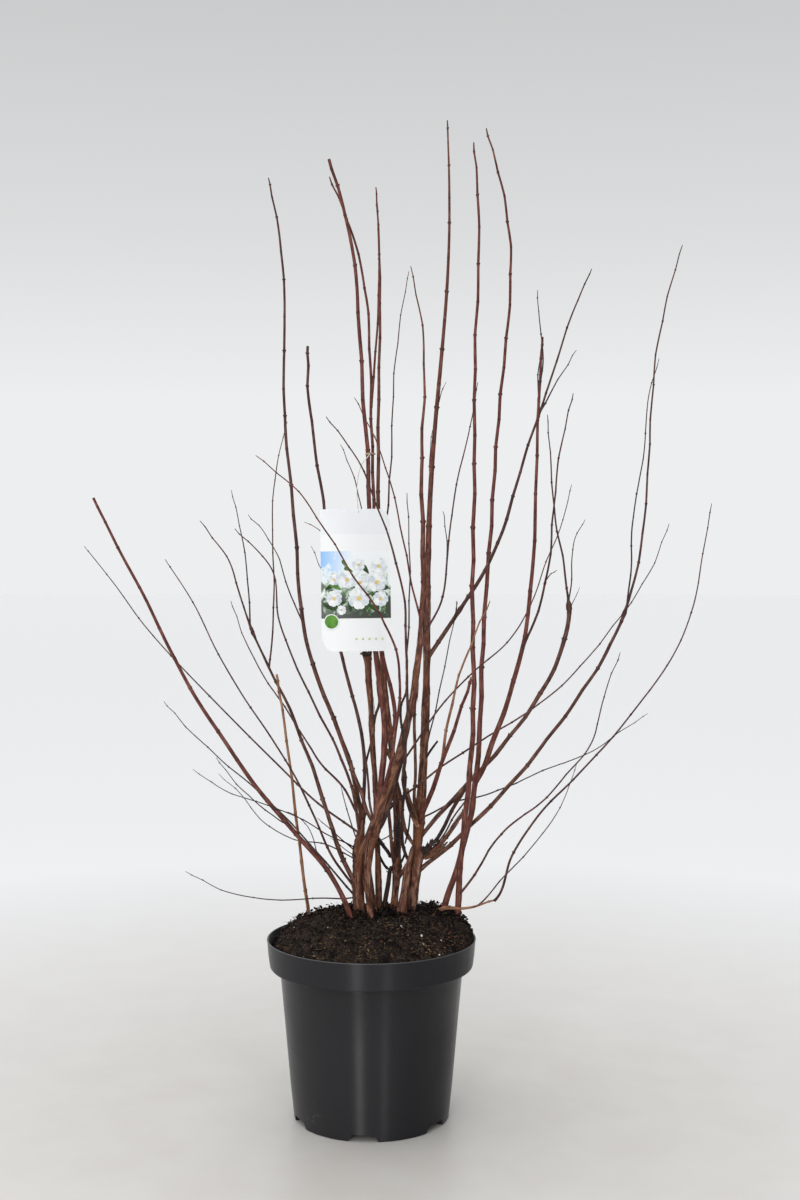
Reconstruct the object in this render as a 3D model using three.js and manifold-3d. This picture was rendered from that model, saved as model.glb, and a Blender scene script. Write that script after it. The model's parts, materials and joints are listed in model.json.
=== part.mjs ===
// A potted mock orange in winter: a bare, many-stemmed flowering shrub in a black nursery pot,
// with a blank-faced plant label tied to two of its middle stems.
// Millimetres, +Z up. The origin is the middle of the pot's underside; -Y is the front.
import * as THREE from 'three';
import { mergeVertices } from 'three/addons/utils/BufferGeometryUtils.js';
import Module from 'manifold-3d';

const wasm = await Module();
wasm.setup();

// ---------- Driving dimensions ----------

const GAP = 0.3;                 // clearance between pieces that touch
const CUT_PAST = 5;              // how far a cutting shape runs past the face that it cuts

const POT = {
  height: 257,
  rimRadius: 150,
  rimLowRadius: 146,             // the rim band narrows a little towards its lower edge
  rimDepth: 41,
  bodyRadius: 131,               // just under the rim band
  baseRadius: 111.5,
  wall: 2,
  rimCorner: 5,                  // rounding of the rim band's lower edge
  heel: 3,                       // bevel round the underside
  lip: 1,                        // bevel round the top
  facets: 40,
};

const FOOT_CHANNELS = {          // channels across the underside that leave six feet between them
  count: 6,
  firstAngle: -95,               // degrees from +X
  width: 44,
  roofWidth: 30,
  height: 10.5,
  innerEnd: 62,                  // the middle of the underside stays flat
  drainRadius: 5.5,
  drainPlace: 84,
  drainFacets: 8,
};

const SOIL = {
  crownHeight: 287,
  crownRadius: 60,               // the middle is level, the rest falls away to the wall
  edgeHeight: 255,
  edgeRadius: 146.5,
  slopeRings: 6,
  heap: { x: 108, y: 6, height: 16, spread: 38 },
};

const CARD = {                   // the hanging label
  left: -68,
  right: 28,
  bottom: 673,
  top: 869,
  front: -79,
  thickness: 1,
  topCut: { width: 16, height: 21 },
  bottomCut: { width: 17, height: 25 },
};

const TIE = {                    // the band round two stems, and the strap that the label hangs on
  height: 944,
  depth: 6,
  wall: 0.8,
  slack: 1,
  strapWidth: 4,
  strapThickness: 0.8,
  strapPath: [[12, 16], [18, 42]],   // how far left of the band and below it the strap passes
  strapEnd: 16,                      // how far left of the band it meets the label
};

const LIMB_SIDES = 6;
const RING_SPACING = 115;        // length of a limb between two of its rings
const END_RINGS = 3;             // rings that even the shortest limb has
const TAPER = 1.4;               // how fast a limb thins: 1 would be an even cone
const ROOT_DEPTH = 8;            // how far a stem is drawn below the soil before it is cut flat there

const BARK = {
  old: { color: 0x6a4a38, roughness: 0.85 },
  young: { color: 0x5e3a34, roughness: 0.5 },
  twig: { color: 0x54403a, roughness: 0.6 },
  tan: { color: 0x9c6a48, roughness: 0.6 },
};

// ---------- The limbs ----------
// foot   where a stem leaves the soil: x, y
// on, at the limb that a shoot grows from, and how far up it (0 its foot, 1 its tip)
// tip    the far end: x, y, z
// sway   how far the limb swings sideways off the straight line: one bow, then an S, then finer waves
// bow    how far its middle leans back (forward if below 0)
// thick  diameter at its foot and at its tip

const STEMS = {
  stem_left: { foot: [-17, 8], tip: [-10, 10, 445], sway: [-6], thick: [18, 13], bark: 'old' },
  stem_centre: {
    foot: [0, -12], tip: [55, -170, 1185], sway: [39, -8, -6, -9, -1, -3], thick: [17, 2.2], bark: 'old',
  },
  stem_right: {
    foot: [57, 10], tip: [110, 60, 1440], sway: [6, -1, 6, -1], thick: [15, 3.2], bark: 'old',
  },
  stem_inner: { foot: [10, 30], tip: [-5, -40, 665], sway: [3], thick: [11, 7.5], bark: 'old' },
  stem_back: {
    foot: [32, 26], tip: [5, 110, 1355], sway: [-5, 1, 6, 2, 2], thick: [11, 3.2], bark: 'old',
  },
  stem_short: { foot: [42, -14], tip: [59, 1, 388], sway: [-2], thick: [13, 10], bark: 'old' },
  stem_outer_left: {
    foot: [-25, -20], tip: [-385, -60, 885], sway: [-18, 5, 6, 3, 2, 2], thick: [7.6, 3.8], bark: 'old',
  },
  stem_tan_left: { foot: [-90, 20], tip: [-130, -70, 640], sway: [1, -1], thick: [4.8, 3.6], bark: 'tan' },
  stem_red_front: {
    foot: [123, -2], tip: [140, -120, 1360], sway: [13, 2, 3, -2, 0, -2], bow: -25, thick: [9, 3.4],
  },
  stem_red_back: {
    foot: [103, 12], tip: [170, 120, 1445], sway: [51, -5, 15, -1, 4], bow: 10, thick: [9, 3.4],
  },
  runner: { foot: [80, -16], tip: [180, -20, 315], sway: [-3, -4, -2, -1], thick: [6.5, 3], bark: 'tan' },
};

const MIDDLE_CANES = {
  cane_cut_tall: {
    on: 'stem_centre', at: 0.177, tip: [-55, -110, 1340], sway: [24, -5, 7, 1, 4], thick: [9, 4.2],
  },
  cane_twin: {
    on: 'cane_cut_tall', at: 0.079, tip: [-55, -95, 1320], sway: [28, -11, 8, -1, 2], bow: 2,
    thick: [6.4, 3.2],
  },
  cane_twin_fork: { on: 'cane_twin', at: 0.625, tip: [10, -100, 1285], sway: [6], thick: [3.6, 2.6] },
  cane_fine_back: { on: 'stem_back', at: 0.461, tip: [55, 190, 1245], sway: [-3, 5], thick: [3.4, 1.8] },
  cane_fine_left: {
    on: 'stem_centre', at: 0.482, tip: [-20, -150, 1015], sway: [12, -4], thick: [3.2, 1.8],
  },
  cane_fine_right: {
    on: 'stem_centre', at: 0.455, tip: [140, -240, 1025], sway: [9, 7, 5, 1, 1], thick: [3.4, 1.8],
  },
  twig_fine_right: {
    on: 'cane_fine_right', at: 0.28, tip: [95, -270, 860], sway: [3], thick: [2.2, 1.6], bark: 'twig',
  },
  cane_dark_front: {
    on: 'stem_right', at: 0.111, tip: [-55, -200, 985], sway: [41, -18, -3, -4, -1, -3], bow: -110,
    thick: [5.4, 2.2],
  },
  twig_dark_front: {
    on: 'cane_dark_front', at: 0.41, tip: [50, -230, 885], sway: [4], thick: [2.8, 1.8], bark: 'twig',
  },
  cane_card_front: {
    on: 'stem_centre', at: 0.201, tip: [-140, -270, 930], sway: [83, 6, 2, -5, 2], thick: [5, 1.9],
  },
  twig_card_back: {
    on: 'cane_twin', at: 0.268, tip: [-50, 150, 975], sway: [7, -4], thick: [2.8, 1.8], bark: 'twig',
  },
};

const RIGHT_CANES = {
  cane_cut_right: {
    on: 'stem_red_back', at: 0.165, tip: [230, -150, 1095], sway: [35, 8], thick: [8.2, 3.5],
  },
  twig_cut_right: {
    on: 'cane_cut_right', at: 0.902, tip: [220, -190, 1150], sway: [4, 2], thick: [2.6, 1.8], bark: 'twig',
  },
  cane_front_right: {
    on: 'cane_cut_right', at: 0.311, tip: [260, -250, 1010], sway: [9, 7], thick: [4, 2.2],
  },
  cane_upper_right: {
    on: 'stem_right', at: 0.32, tip: [325, 90, 1230], sway: [21, 11, 1, 0, -2], thick: [6.5, 2.6],
  },
  twig_upper_right: {
    on: 'cane_upper_right', at: 0.635, tip: [290, -20, 1095], sway: [-1], thick: [3, 1.8], bark: 'twig',
  },
  cane_back_right: {
    on: 'stem_right', at: 0.094, tip: [270, 200, 1025], sway: [114, 6, -10, 1, 1, -2], bow: 10,
    thick: [7, 2.6],
  },
  twig_back_right: {
    on: 'cane_back_right', at: 0.596, tip: [320, 120, 860], sway: [-8, 4], thick: [2.6, 1.8], bark: 'twig',
  },
  cane_high_right: {
    on: 'stem_right', at: 0.051, tip: [450, 40, 1255], sway: [130, 22, -9, 4, 1, 1], bow: 75,
    thick: [6.6, 2.6],
  },
  twig_high_right: {
    on: 'cane_high_right', at: 0.484, tip: [415, 30, 1090], sway: [-7, 1, -1, 3],
    thick: [3, 1.8], bark: 'twig',
  },
  cane_long_back: {
    on: 'stem_centre', at: 0.233, tip: [305, 170, 915], sway: [33, -12, -5, 1, 3, -1], thick: [3.4, 1.8],
  },
  cane_long_low: {
    on: 'stem_centre', at: 0.179, tip: [455, 170, 855], sway: [54, -11, -1, -2, 2], thick: [3.6, 1.8],
  },
  cane_outer_right: {
    on: 'runner', at: 0.96, tip: [460, -130, 875], sway: [38, -24, -4, -2, -2, 1], thick: [3.8, 1.9],
  },
  cane_low_front: {
    on: 'stem_red_front', at: 0.037, tip: [325, -220, 680], sway: [25, -13, -3, 3, 0, 3], thick: [3.8, 1.8],
  },
  cane_low_back: {
    on: 'stem_right', at: 0.121, tip: [435, 240, 555], sway: [14, -4, 0, -1, -3], thick: [3, 1.6],
  },
  cane_low_right: { on: 'runner', at: 0.74, tip: [300, 40, 505], sway: [17, -4], thick: [2.6, 1.5] },
  cane_red_short: { on: 'stem_right', at: 0.113, tip: [135, -190, 645], sway: [1], thick: [8, 4] },
  cane_tan_short: {
    on: 'cane_red_short', at: 0.43, tip: [160, -170, 745], sway: [-11], thick: [4.6, 2.6], bark: 'tan',
  },
  twig_inner_right: {
    on: 'stem_right', at: 0.189, tip: [130, 170, 735], sway: [1], thick: [2.8, 1.8], bark: 'twig',
  },
};

const LEFT_CANES = {
  cane_tall_left: {
    on: 'stem_left', at: 0.89, tip: [-135, -130, 1310], sway: [-34, -11, 4, 0, 5, 1], thick: [7, 3.1],
  },
  twig_tall_left: {
    on: 'cane_tall_left', at: 0.329, tip: [-180, 40, 865], sway: [9, -4], thick: [2.6, 1.7], bark: 'twig',
  },
  cane_cut_left: {
    on: 'stem_left', at: 0.84, tip: [-100, 160, 1125], sway: [-3, 7, 5, 6], thick: [5.2, 4.2],
  },
  twig_cut_left: {
    on: 'cane_cut_left', at: 0.115, tip: [10, 60, 595], sway: [2], thick: [3.4, 3], bark: 'twig',
  },
  cane_front_left: {
    on: 'stem_left', at: 0.74, tip: [-175, -190, 840], sway: [15, 0, 10, -5, 4, -2], thick: [4.8, 2.1],
  },
  cane_back_left: {
    on: 'stem_left', at: 0.85, tip: [-225, 220, 735], sway: [-13, 5, 0, 2, 2, 1], thick: [4, 1.9],
  },
  cane_thick_left: {
    on: 'stem_left', at: 0.26, tip: [-245, 0, 855], sway: [12, -3, 1, -5, 2, -2], bow: -10, thick: [7.4, 2.2],
  },
  twig_thick_left: {
    on: 'cane_thick_left', at: 0.709, tip: [-215, 140, 905], sway: [7], thick: [2.8, 1.8], bark: 'twig',
  },
  cane_upright_left: {
    on: 'cane_thick_left', at: 0.6, tip: [-135, 210, 1015], sway: [-9, 6], thick: [3, 1.8],
  },
  cane_outer_left: {
    on: 'stem_left', at: 0.75, tip: [-435, 120, 820], sway: [-24, -1, -2, -2, 0, -1], bow: 15,
    thick: [3.6, 1.8],
  },
  cane_low_left: {
    on: 'stem_left', at: 0.24, tip: [-260, -230, 800], sway: [1, 0, -2, -4, 0, -1], thick: [4, 1.8],
  },
  cane_low_back_left: {
    on: 'stem_left', at: 0.18, tip: [-325, 180, 580], sway: [5, 4, -2], thick: [3.4, 1.8],
  },
  wisp_front_left: {
    on: 'stem_left', at: 0.61, tip: [-240, -120, 515], sway: [0, 4, -3], thick: [2.4, 1.5], bark: 'twig',
  },
  wisp_outer_left: {
    on: 'stem_outer_left', at: 0.245, tip: [-200, -190, 540], sway: [-8], thick: [2.2, 1.5], bark: 'twig',
  },
  wisp_back_left: {
    on: 'stem_left', at: 0.52, tip: [-230, 90, 480], sway: [-22, 3, 6], thick: [2.4, 1.5], bark: 'twig',
  },
  wisp_low_left: {
    on: 'stem_left', at: 0.2, tip: [-255, -90, 370], sway: [-22, 4], thick: [2.6, 1.5], bark: 'twig',
  },
};

// ---------- Solids ----------

function toSolid(geometry) {
  geometry.deleteAttribute('normal');
  geometry.deleteAttribute('uv');
  const merged = mergeVertices(geometry, 1e-4);
  return new wasm.Manifold(new wasm.Mesh({
    numProp: 3,
    vertProperties: Float32Array.from(merged.attributes.position.array),
    triVerts: Uint32Array.from(merged.index.array),
  }));
}

function toGeometry(solid) {
  const { vertProperties, triVerts } = solid.getMesh();
  const geometry = new THREE.BufferGeometry();
  geometry.setAttribute('position', new THREE.BufferAttribute(vertProperties, 3));
  geometry.setIndex(new THREE.BufferAttribute(triVerts, 1));
  geometry.computeVertexNormals();
  return geometry;
}

function largestPiece(solid) {
  return solid.decompose().reduce((best, piece) => (piece.volume() > best.volume() ? piece : best));
}

// A profile of [radius, height] pairs, turned about the vertical axis.
function turned(profile) {
  const points = profile.map(([radius, height]) => new THREE.Vector2(radius, height));
  return new THREE.LatheGeometry(points, POT.facets).rotateX(Math.PI / 2);
}

// ---------- Pot ----------

// The rounded step from the shelf under the rim band up into the face of the band.
function rimCorner(radius, height) {
  return [0, 45, 90].map((degrees) => {
    const turn = THREE.MathUtils.degToRad(degrees);
    return [radius - POT.rimCorner * (1 - Math.sin(turn)), height + POT.rimCorner * (1 - Math.cos(turn))];
  });
}

function potOutside() {
  const shelf = POT.height - POT.rimDepth;
  return [
    [0, 0],
    [POT.baseRadius - POT.heel, 0],
    [POT.baseRadius, POT.heel],
    [POT.bodyRadius, shelf],
    ...rimCorner(POT.rimLowRadius, shelf),
    [POT.rimRadius, POT.height - POT.lip],
    [POT.rimRadius - POT.lip, POT.height],
    [0, POT.height],
  ];
}

// The space inside the pot, made smaller all round by the inset and open at the top.
function potInside(inset, top) {
  const wall = POT.wall + inset;
  const shelf = POT.height - POT.rimDepth + wall;
  return [
    [0, wall],
    [POT.baseRadius - wall, wall],
    [POT.bodyRadius - wall, shelf],
    ...rimCorner(POT.rimLowRadius - wall, shelf),
    ...top,
  ];
}

// One channel across the underside, thickened all round for the roof that the pot puts over it.
function footChannel(angle, grow) {
  const half = FOOT_CHANNELS.width / 2 + grow;
  const roofHalf = FOOT_CHANNELS.roofWidth / 2 + grow;
  const roof = FOOT_CHANNELS.height + grow;
  const section = new THREE.Shape();
  section.moveTo(-half, -CUT_PAST);
  section.lineTo(half, -CUT_PAST);
  section.lineTo(half, 0);
  section.lineTo(roofHalf, roof);
  section.lineTo(-roofHalf, roof);
  section.lineTo(-half, 0);
  const length = POT.rimRadius - FOOT_CHANNELS.innerEnd + grow;
  const geometry = new THREE.ExtrudeGeometry(section, { depth: length, bevelEnabled: false });
  geometry.rotateX(Math.PI / 2);
  geometry.translate(0, POT.rimRadius, 0);
  geometry.rotateZ(THREE.MathUtils.degToRad(angle - 90));
  return toSolid(geometry);
}

function footAngles() {
  const step = 360 / FOOT_CHANNELS.count;
  return Array.from({ length: FOOT_CHANNELS.count }, (_, i) => FOOT_CHANNELS.firstAngle + i * step);
}

function drainHole(angle) {
  const { drainRadius, drainPlace, drainFacets, height } = FOOT_CHANNELS;
  const length = 2 * (height + POT.wall + CUT_PAST);
  const geometry = new THREE.CylinderGeometry(drainRadius, drainRadius, length, drainFacets);
  geometry.rotateX(Math.PI / 2);
  geometry.translate(drainPlace, 0, 0);
  geometry.rotateZ(THREE.MathUtils.degToRad(angle));
  return toSolid(geometry);
}

function potSolid() {
  const mouth = POT.height + CUT_PAST;
  let space = toSolid(turned(potInside(0, [[POT.rimRadius - POT.wall, mouth], [0, mouth]])));
  let pot = toSolid(turned(potOutside()));
  for (const angle of footAngles()) {
    space = space.subtract(footChannel(angle, POT.wall));
  }
  pot = pot.subtract(space);
  for (const angle of footAngles()) {
    pot = pot.subtract(footChannel(angle, 0)).subtract(drainHole(angle));
  }
  return pot;
}

// ---------- Soil ----------

function soilHeight(x, y) {
  const fall = Math.max(0, Math.hypot(x, y) - SOIL.crownRadius) / (POT.rimRadius - SOIL.crownRadius);
  const { heap } = SOIL;
  const fromHeap = Math.hypot(x - heap.x, y - heap.y) / heap.spread;
  const mound = SOIL.edgeHeight + (SOIL.crownHeight - SOIL.edgeHeight) * (1 - fall * fall);
  return mound + heap.height * Math.exp(-fromHeap * fromHeap / 2);
}

// The soil, or with a rise above 0 the same soil made higher, which cuts the feet of the stems off level.
function soilSolid(rise) {
  const step = (SOIL.edgeRadius - SOIL.crownRadius) / SOIL.slopeRings;
  const slope = Array.from({ length: SOIL.slopeRings }, (_, i) => SOIL.edgeRadius - i * step);
  const rings = [...slope, SOIL.crownRadius, SOIL.crownRadius / 2, 0];
  const top = rings.map((radius) => [radius, SOIL.crownHeight]);
  const geometry = turned(potInside(GAP, top));
  const position = geometry.attributes.position;
  for (let i = 0; i < position.count; i += 1) {
    if (position.getZ(i) === SOIL.crownHeight) {
      position.setZ(i, soilHeight(position.getX(i), position.getY(i)) + rise);
    }
  }
  let soil = toSolid(geometry);
  for (const angle of footAngles()) {
    soil = soil.subtract(footChannel(angle, POT.wall + GAP));
  }
  return soil;
}

// ---------- Limbs ----------

class Limb extends THREE.Curve {
  constructor(start, row) {
    super();
    this.start = start;
    this.end = new THREE.Vector3(...row.tip);
    this.row = row;
    const along = this.end.clone().sub(start);
    this.sideways = new THREE.Vector3(along.z, 0, -along.x).normalize();
  }

  getPoint(t, target = new THREE.Vector3()) {
    const swing = this.row.sway.reduce((sum, size, k) => sum + size * Math.sin((k + 1) * Math.PI * t), 0);
    target.lerpVectors(this.start, this.end, t).addScaledVector(this.sideways, swing);
    target.y += (this.row.bow ?? 0) * Math.sin(Math.PI * t);
    return target;
  }

  radius(t) {
    const [foot, tip] = this.row.thick;
    return (tip + (foot - tip) * (1 - t) ** TAPER) / 2;
  }

  // A closed tapering tube along the limb, thickened all round by the growth.
  solid(growth) {
    const rings = Math.round(this.getLength() / RING_SPACING) + END_RINGS;
    const tube = new THREE.CylinderGeometry(1, 1, 1, LIMB_SIDES, rings);
    const position = tube.attributes.position;
    for (let i = 0; i < position.count; i += 1) {
      const t = position.getY(i) + 0.5;
      const tangent = this.getTangent(t);
      const across = new THREE.Vector3(0, 1, 0).cross(tangent).normalize();
      const deep = across.clone().cross(tangent);
      const place = this.getPoint(t);
      place.addScaledVector(across, position.getX(i) * (this.radius(t) + growth));
      place.addScaledVector(deep, position.getZ(i) * (this.radius(t) + growth));
      position.setXYZ(i, place.x, place.y, place.z);
    }
    return toSolid(tube);
  }
}

// Grows every limb in turn, cut to fit the soil, or its parent limb and the older shoots on that.
function growLimbs(rows) {
  const cutGrowth = GAP / Math.cos(Math.PI / LIMB_SIDES);
  const ground = soilSolid(GAP);
  const limbs = {};
  for (const [name, row] of Object.entries(rows)) {
    const parent = limbs[row.on];
    const start = parent
      ? parent.limb.getPoint(row.at)
      : new THREE.Vector3(...row.foot, soilHeight(...row.foot) - ROOT_DEPTH);
    const limb = new Limb(start, row);
    let solid = limb.solid(0).subtract(parent ? parent.cutter : ground);
    for (const sibling of parent ? parent.shoots : []) {
      solid = solid.subtract(sibling.cutter);
    }
    limbs[name] = { limb, solid: largestPiece(solid), cutter: limb.solid(cutGrowth), shoots: [] };
    parent?.shoots.push(limbs[name]);
  }
  return limbs;
}

// ---------- Label and tie ----------

function cardSolid() {
  const { left, right, bottom, top, topCut, bottomCut } = CARD;
  const outline = new THREE.Shape();
  outline.moveTo(left + bottomCut.width, bottom);
  outline.lineTo(right, bottom);
  outline.lineTo(right, top - topCut.height);
  outline.quadraticCurveTo(right, top, right - topCut.width, top);
  outline.lineTo(left, top);
  outline.lineTo(left, bottom + bottomCut.height);
  outline.quadraticCurveTo(left, bottom, left + bottomCut.width, bottom);
  const geometry = new THREE.ExtrudeGeometry(outline, {
    depth: CARD.thickness,
    bevelEnabled: false,
    curveSegments: 5,
  });
  geometry.rotateX(Math.PI / 2);
  geometry.translate(0, CARD.front + CARD.thickness, 0);
  return toSolid(geometry);
}

// An upright block whose outline is a slot: two round ends of the given radius, the spread apart.
function slotBlock(centre, angle, spread, radius, height) {
  const outline = new THREE.Shape();
  outline.absarc(spread / 2, 0, radius, -Math.PI / 2, Math.PI / 2);
  outline.absarc(-spread / 2, 0, radius, Math.PI / 2, 1.5 * Math.PI);
  const geometry = new THREE.ExtrudeGeometry(outline, {
    depth: height,
    bevelEnabled: false,
    curveSegments: 6,
  });
  geometry.translate(0, 0, -height / 2);
  geometry.rotateZ(angle);
  geometry.translate(centre.x, centre.y, centre.z);
  return toSolid(geometry);
}

function pointAtHeight(limb, height) {
  let low = 0;
  let high = 1;
  for (let i = 0; i < 30; i += 1) {
    const middle = (low + high) / 2;
    if (limb.getPoint(middle).z < height) {
      low = middle;
    } else {
      high = middle;
    }
  }
  return { place: limb.getPoint(low), radius: limb.radius(low) };
}

function tieSolid(limbs) {
  const first = pointAtHeight(limbs.cane_cut_tall.limb, TIE.height);
  const second = pointAtHeight(limbs.cane_twin.limb, TIE.height);
  const centre = first.place.clone().add(second.place).multiplyScalar(0.5);
  const apart = second.place.clone().sub(first.place);
  const angle = Math.atan2(apart.y, apart.x);
  const radius = Math.max(first.radius, second.radius) + TIE.slack;
  const band = slotBlock(centre, angle, apart.length(), radius + TIE.wall, TIE.depth)
    .subtract(slotBlock(centre, angle, apart.length(), radius, TIE.depth + CUT_PAST));
  const front = centre.y - Math.abs(apart.y) / 2 - radius;

  const [high, low] = TIE.strapPath;
  const route = new THREE.CatmullRomCurve3([
    new THREE.Vector3(centre.x, front - TIE.wall / 2, TIE.height),
    new THREE.Vector3(centre.x - high[0], front - TIE.wall, TIE.height - high[1]),
    new THREE.Vector3(centre.x - low[0], CARD.front, TIE.height - low[1]),
    new THREE.Vector3(centre.x - TIE.strapEnd, CARD.front + CARD.thickness / 2, CARD.top + GAP),
  ]);
  const halfWidth = TIE.strapWidth / 2;
  const halfThickness = TIE.strapThickness / 2;
  const section = new THREE.Shape();
  section.moveTo(-halfThickness, -halfWidth);
  section.lineTo(halfThickness, -halfWidth);
  section.lineTo(halfThickness, halfWidth);
  section.lineTo(-halfThickness, halfWidth);
  const strap = new THREE.ExtrudeGeometry(section, { steps: 10, extrudePath: route, bevelEnabled: false });
  return { band, strap: toSolid(strap) };
}

// ---------- Assembly ----------

const shrub = new THREE.Group();

function addNode(name, solid, look) {
  const material = new THREE.MeshStandardMaterial({ metalness: 0, ...look });
  const mesh = new THREE.Mesh(toGeometry(solid), material);
  mesh.name = name;
  shrub.add(mesh);
}

const limbs = growLimbs({ ...STEMS, ...MIDDLE_CANES, ...RIGHT_CANES, ...LEFT_CANES });
const tie = tieSolid(limbs);

addNode('pot', potSolid(), { color: 0x2f3033, roughness: 0.45 });
addNode('soil', soilSolid(0), { color: 0x35281f, roughness: 1 });
addNode('label_card', cardSolid(), { color: 0xe8ebe6, roughness: 0.5 });
addNode('label_tie', tie.band.add(tie.strap), { color: 0xd9cfb8, roughness: 0.6 });
for (const [name, { limb, solid }] of Object.entries(limbs)) {
  addNode(name, solid, BARK[limb.row.bark ?? 'young']);
}

export default shrub;
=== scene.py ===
"""A potted mock orange in winter: bark, twigs, buds, pot, soil and label, built round its CAD frame."""

import json
import math
import random

import bmesh
import bpy
import numpy as np
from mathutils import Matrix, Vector, noise


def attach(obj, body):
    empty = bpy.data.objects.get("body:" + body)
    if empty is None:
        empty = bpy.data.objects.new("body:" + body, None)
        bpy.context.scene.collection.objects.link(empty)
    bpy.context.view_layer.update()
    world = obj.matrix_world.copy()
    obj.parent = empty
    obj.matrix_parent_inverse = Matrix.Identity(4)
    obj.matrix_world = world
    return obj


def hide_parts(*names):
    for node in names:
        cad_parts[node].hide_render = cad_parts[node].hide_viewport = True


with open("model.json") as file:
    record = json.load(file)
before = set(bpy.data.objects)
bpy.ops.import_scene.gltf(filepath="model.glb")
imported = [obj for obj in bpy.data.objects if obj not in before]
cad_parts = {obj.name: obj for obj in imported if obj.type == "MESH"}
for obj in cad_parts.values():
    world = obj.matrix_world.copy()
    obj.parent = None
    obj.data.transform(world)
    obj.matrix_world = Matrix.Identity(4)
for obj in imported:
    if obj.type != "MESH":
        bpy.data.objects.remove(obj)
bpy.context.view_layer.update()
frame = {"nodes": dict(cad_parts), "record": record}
MM = 0.001
TURN = 2 * math.pi
UP = np.array([0, 0, 1.0])
FORWARD = np.array([0.0, -1.0, 0.0])       # towards the camera


def in_scene(name, data):
    """An object of that data, put into the scene."""
    made = bpy.data.objects.new(name, data)
    bpy.context.scene.collection.objects.link(made)
    return made


# ---------- Camera ----------

PHOTO_WIDTH, PHOTO_HEIGHT = 800, 1200
FOCAL_PIXELS = 1548.5
SENSOR = 36.0
CAMERA_PLACE = np.array([0.041, -2.214, 0.7992])
CAMERA_PITCH = 0.026                       # how far it looks down, in radians


def add_camera():
    data = bpy.data.cameras.new("camera")
    data.sensor_width = SENSOR
    data.lens = SENSOR * FOCAL_PIXELS / PHOTO_HEIGHT
    camera = in_scene("camera", data)
    camera.location = CAMERA_PLACE
    camera.rotation_euler = (math.pi / 2 - CAMERA_PITCH, 0, 0)
    bpy.context.scene.camera = camera


def pixel_ray(x, y):
    """The direction in which a pixel of the photograph looks."""
    right = (x - PHOTO_WIDTH / 2) / FOCAL_PIXELS
    up = (PHOTO_HEIGHT / 2 - y) / FOCAL_PIXELS
    sin, cos = math.sin(CAMERA_PITCH), math.cos(CAMERA_PITCH)
    return np.array([right, cos + up * sin, -sin + up * cos])


def at_pixel(pixel, depth):
    """The point that a pixel shows at a distance behind the pot's middle (in front of it if below 0)."""
    ray = pixel_ray(*pixel)
    return CAMERA_PLACE + ray * (depth - CAMERA_PLACE[1]) / ray[1]


def to_pixels(points):
    """Where the photograph shows each point."""
    away = np.asarray(points) - CAMERA_PLACE
    sin, cos = math.sin(CAMERA_PITCH), math.cos(CAMERA_PITCH)
    depth = away[:, 1] * cos - away[:, 2] * sin
    up = away[:, 1] * sin + away[:, 2] * cos
    return np.stack([
        PHOTO_WIDTH / 2 + FOCAL_PIXELS * away[:, 0] / depth,
        PHOTO_HEIGHT / 2 - FOCAL_PIXELS * up / depth,
    ], axis=1)


# ---------- Materials ----------


class Nodes:
    """A node tree, with short calls for what the materials and the studio both use."""

    def __init__(self, tree):
        self.tree = tree

    def add(self, kind, inputs=(), **settings):
        node = self.tree.nodes.new(kind)
        for key, value in settings.items():
            setattr(node, key, value)
        for socket, value in dict(inputs).items():
            self.feed(node.inputs[socket], value)
        return node

    def feed(self, socket, value):
        if isinstance(value, bpy.types.NodeSocket):
            self.tree.links.new(value, socket)
        else:
            socket.default_value = value

    def range(self, value, low, high, to_low=0.0, to_high=1.0):
        return self.add("ShaderNodeMapRange", {
            "Value": value, "From Min": low, "From Max": high, "To Min": to_low, "To Max": to_high,
        }).outputs["Result"]

    def ramp(self, value, stops):
        node = self.add("ShaderNodeValToRGB", {"Fac": value})
        elements = node.color_ramp.elements
        while len(elements) < len(stops):
            elements.new(0.5)
        for element, (place, colour) in zip(elements, stops):
            element.position = place
            element.color = (*colour, 1)
        return node.outputs["Color"]


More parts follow.
